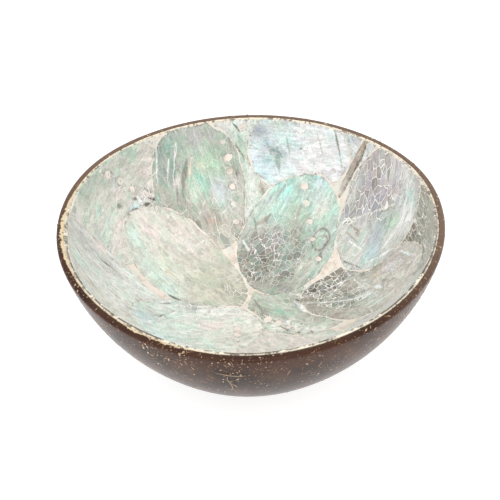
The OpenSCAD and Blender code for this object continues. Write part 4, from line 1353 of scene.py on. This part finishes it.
def leaf_paint(leaf, look, p, q, inset, number):
    """Tint and crack strength at places on a leaf, given as parts of its half sizes."""
    spots = np.stack([p * WOBBLE_WAVES[0], q * WOBBLE_WAVES[1], np.full_like(p, number * LEAF_APART)], 1) * MM
    wobble = ripple(spots, 1.0)
    jitter = ripple(spots, 4.0, 2.0)
    up = np.clip(p * 0.5 + 0.5 + 0.15 * wobble, 0, 1)[:, None]
    tint = np.array(paint(look.low)[:3]) * (1 - up) + np.array(paint(look.high)[:3]) * up
    for x, y, size, colour in look.patches:
        tint = laid_over(tint, colour, spot_share(p, q, (x, y), size, wobble + 0.6 * jitter))
    crumbling = np.clip(1 - inset / CRUMBLE_WIDTH, 0, 1) * np.clip(1.6 * wobble + 0.8 * jitter + 0.3, 0, 1)
    cracks = np.maximum(LEAST_CRACKS, 0.9 * crumbling)
    for x, y, size, strength in look.cracks:
        zone = np.clip(spot_share(p, q, (x, y), size, wobble + jitter) * CRACK_GAIN, 0, 1)
        cracks = np.maximum(cracks, strength * zone)
    x = p * leaf.half_len
    y = q * leaf.half_wid
    for p0, q0, p1, q1, width, colour in look.slits:
        start = np.array([p0 * leaf.half_len, q0 * leaf.half_wid])
        run = np.array([p1 * leaf.half_len, q1 * leaf.half_wid]) - start
        along = np.clip(((x - start[0]) * run[0] + (y - start[1]) * run[1]) / (run @ run), 0, 1)
        off_x = x - start[0] - along * run[0] + SLIT_WOBBLE * wobble
        off_y = y - start[1] - along * run[1] + SLIT_WOBBLE * jitter
        taper = width * (0.35 + 0.65 * np.sin(math.pi * np.clip(along, 0.03, 0.97)))
        tint = laid_over(tint, colour, (1.15 - np.hypot(off_x, off_y) / taper) * 2.5)
    for p0, q0, radius, width, colour in look.rings:
        far = np.hypot(x - p0 * leaf.half_len, (y - q0 * leaf.half_wid) * RING_STRETCH)
        tint = laid_over(tint, colour, 1.4 - np.abs(far + RING_WOBBLE * jitter - radius) / width)
    return tint, cracks


def large_parts(flat, faces, inset, least):
    """Drops what the cutting left apart from a leaf, where it is below a share of the largest part."""
    owner = np.arange(len(flat))
    while True:
        low = owner[faces].min(1)
        before = owner.copy()
        for corner in range(3):
            np.minimum.at(owner, faces[:, corner], low)
        owner = owner[owner]
        if np.array_equal(owner, before):
            break
    sizes = np.bincount(owner[faces[:, 0]])
    kept = faces[sizes[owner[faces[:, 0]]] >= least * sizes.max()]
    used, kept = np.unique(kept, return_inverse=True)
    return flat[used], kept.reshape(-1, 3), inset[used]


FINISHES = {slot: nacre_finish(slot) for slot in NACRE_FINISHES}
for number, leaf in enumerate(LEAVES):
    flat, faces, inset = large_parts(*cut(LEAF_FIELDS[number]), LEAST_PART.get(leaf.name, 1.0))
    way = flat_direction(flat)
    dip = EDGE_DIP * np.clip(1 - inset / EDGE_DIP_WIDTH, 0, 1) ** 2
    front = on_lining(way, LEAF_FACE, -dip)
    points, plate_faces = closed_plate(front, on_lining(way, LEAF_BACK), faces)
    plate = piece_from("leaf_" + leaf.name + "_pearl", points, plate_faces, FINISHES[leaf.slot])
    _, along, across = leaf_axes(leaf)
    x = (front - MIDDLE) @ along / MM
    y = (front - MIDDLE) @ across / MM
    look = LOOKS[leaf.name]
    tint, cracks = leaf_paint(leaf, look, x / leaf.half_len, y / leaf.half_wid, inset, number)
    length, width, turn = look.cell
    cosine, sine = math.cos(math.radians(turn)), math.sin(math.radians(turn))
    cells = np.stack([(x * cosine + y * sine) / length, (y * cosine - x * sine) / width,
                      np.full_like(x, number * CELLS_APART)], 1)
    places = np.stack([x, y, np.full_like(x, number * PLACES_APART)], 1)
    colours = np.concatenate([tint, np.ones((len(x), 1))], 1)
    keep(plate, "tint", "FLOAT_COLOR", np.tile(colours, (2, 1)))
    keep(plate, "cracks", "FLOAT", np.tile(cracks, 2))
    keep(plate, "from_edge", "FLOAT", np.tile(inset / MM, 2))
    keep(plate, "leaf_place", "FLOAT_VECTOR", np.tile(places, (2, 1)))
    keep(plate, "cell_place", "FLOAT_VECTOR", np.tile(cells, (2, 1)))
    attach(plate, "root")
    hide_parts("leaf_" + leaf.name)

# Floor, light and camera
# A white table, lit from within, under soft light from all round and one large lamp above the front.
# The camera stands where the photograph was taken from.
FLOOR_HALF = 3.0
FLOOR_WHITE = 0.5
FLOOR_GLOW = 0.78
SKY_STRENGTH = 0.9
LAMP_POWER = 6.75
LAMP_SIZE = 1.1
LAMP_PLACE = (-0.05, -0.75, 1.1)
CAMERA_PLACE = (0.0, -0.495, 0.4513)
CAMERA_DOWN = math.radians(39.49)
CAMERA_RIGHT = math.radians(0.04)
CAMERA_LENS = 127.5


def floor_finish():
    """A dull white top that glows enough to come out white and still takes the bowl's shadow."""
    material, tree, shader = material_with_shader("white_table")
    place = tree.nodes.new("ShaderNodeTexCoord").outputs["Object"]
    soft = calc(tree, "MULTIPLY_ADD", cloudy(tree, place, 3.0), 0.01, FLOOR_WHITE)
    white = node_of(tree, "ShaderNodeCombineColor", Red=soft, Green=soft, Blue=soft).outputs[0]
    tree.links.new(white, shader.inputs["Base Color"])
    shader.inputs["Roughness"].default_value = 0.8
    shader.inputs["Specular IOR Level"].default_value = 0.2
    shader.inputs["Emission Color"].default_value = (1.0, 1.0, 1.0, 1.0)
    shader.inputs["Emission Strength"].default_value = FLOOR_GLOW
    return material


corner_points = np.array([(x, y, 0.0) for x, y in ((-1, -1), (1, -1), (1, 1), (-1, 1))]) * FLOOR_HALF
floor = piece_from("table_top", corner_points, [(0, 1, 2, 3)], floor_finish())

world = bpy.data.worlds.new("white_room")
world.use_nodes = True
room = world.node_tree.nodes["Background"]
room.inputs["Color"].default_value = (1.0, 1.0, 1.0, 1.0)
path = world.node_tree.nodes.new("ShaderNodeLightPath").outputs
seen = calc(world.node_tree, "MAXIMUM", path["Is Camera Ray"], path["Is Glossy Ray"])
seen = calc(world.node_tree, "MAXIMUM", seen, path["Is Transmission Ray"])
strength = calc(world.node_tree, "MULTIPLY_ADD", seen, 1 - SKY_STRENGTH, SKY_STRENGTH)
world.node_tree.links.new(strength, room.inputs["Strength"])
bpy.context.scene.world = world

lamp = bpy.data.objects.new("soft_lamp", bpy.data.lights.new("soft_lamp", "AREA"))
lamp.data.energy = LAMP_POWER
lamp.data.size = LAMP_SIZE
lamp.location = LAMP_PLACE
lamp.rotation_euler = Vector(LAMP_PLACE).to_track_quat("Z", "Y").to_euler()
bpy.context.collection.objects.link(lamp)

camera = bpy.data.objects.new("camera", bpy.data.cameras.new("camera"))
camera.data.lens = CAMERA_LENS
camera.data.sensor_width = 36.0
camera.location = CAMERA_PLACE
camera.rotation_euler = (math.pi / 2 - CAMERA_DOWN, 0.0, -CAMERA_RIGHT)
bpy.context.collection.objects.link(camera)
bpy.context.scene.camera = camera
bpy.context.scene.view_settings.view_transform = "Standard"
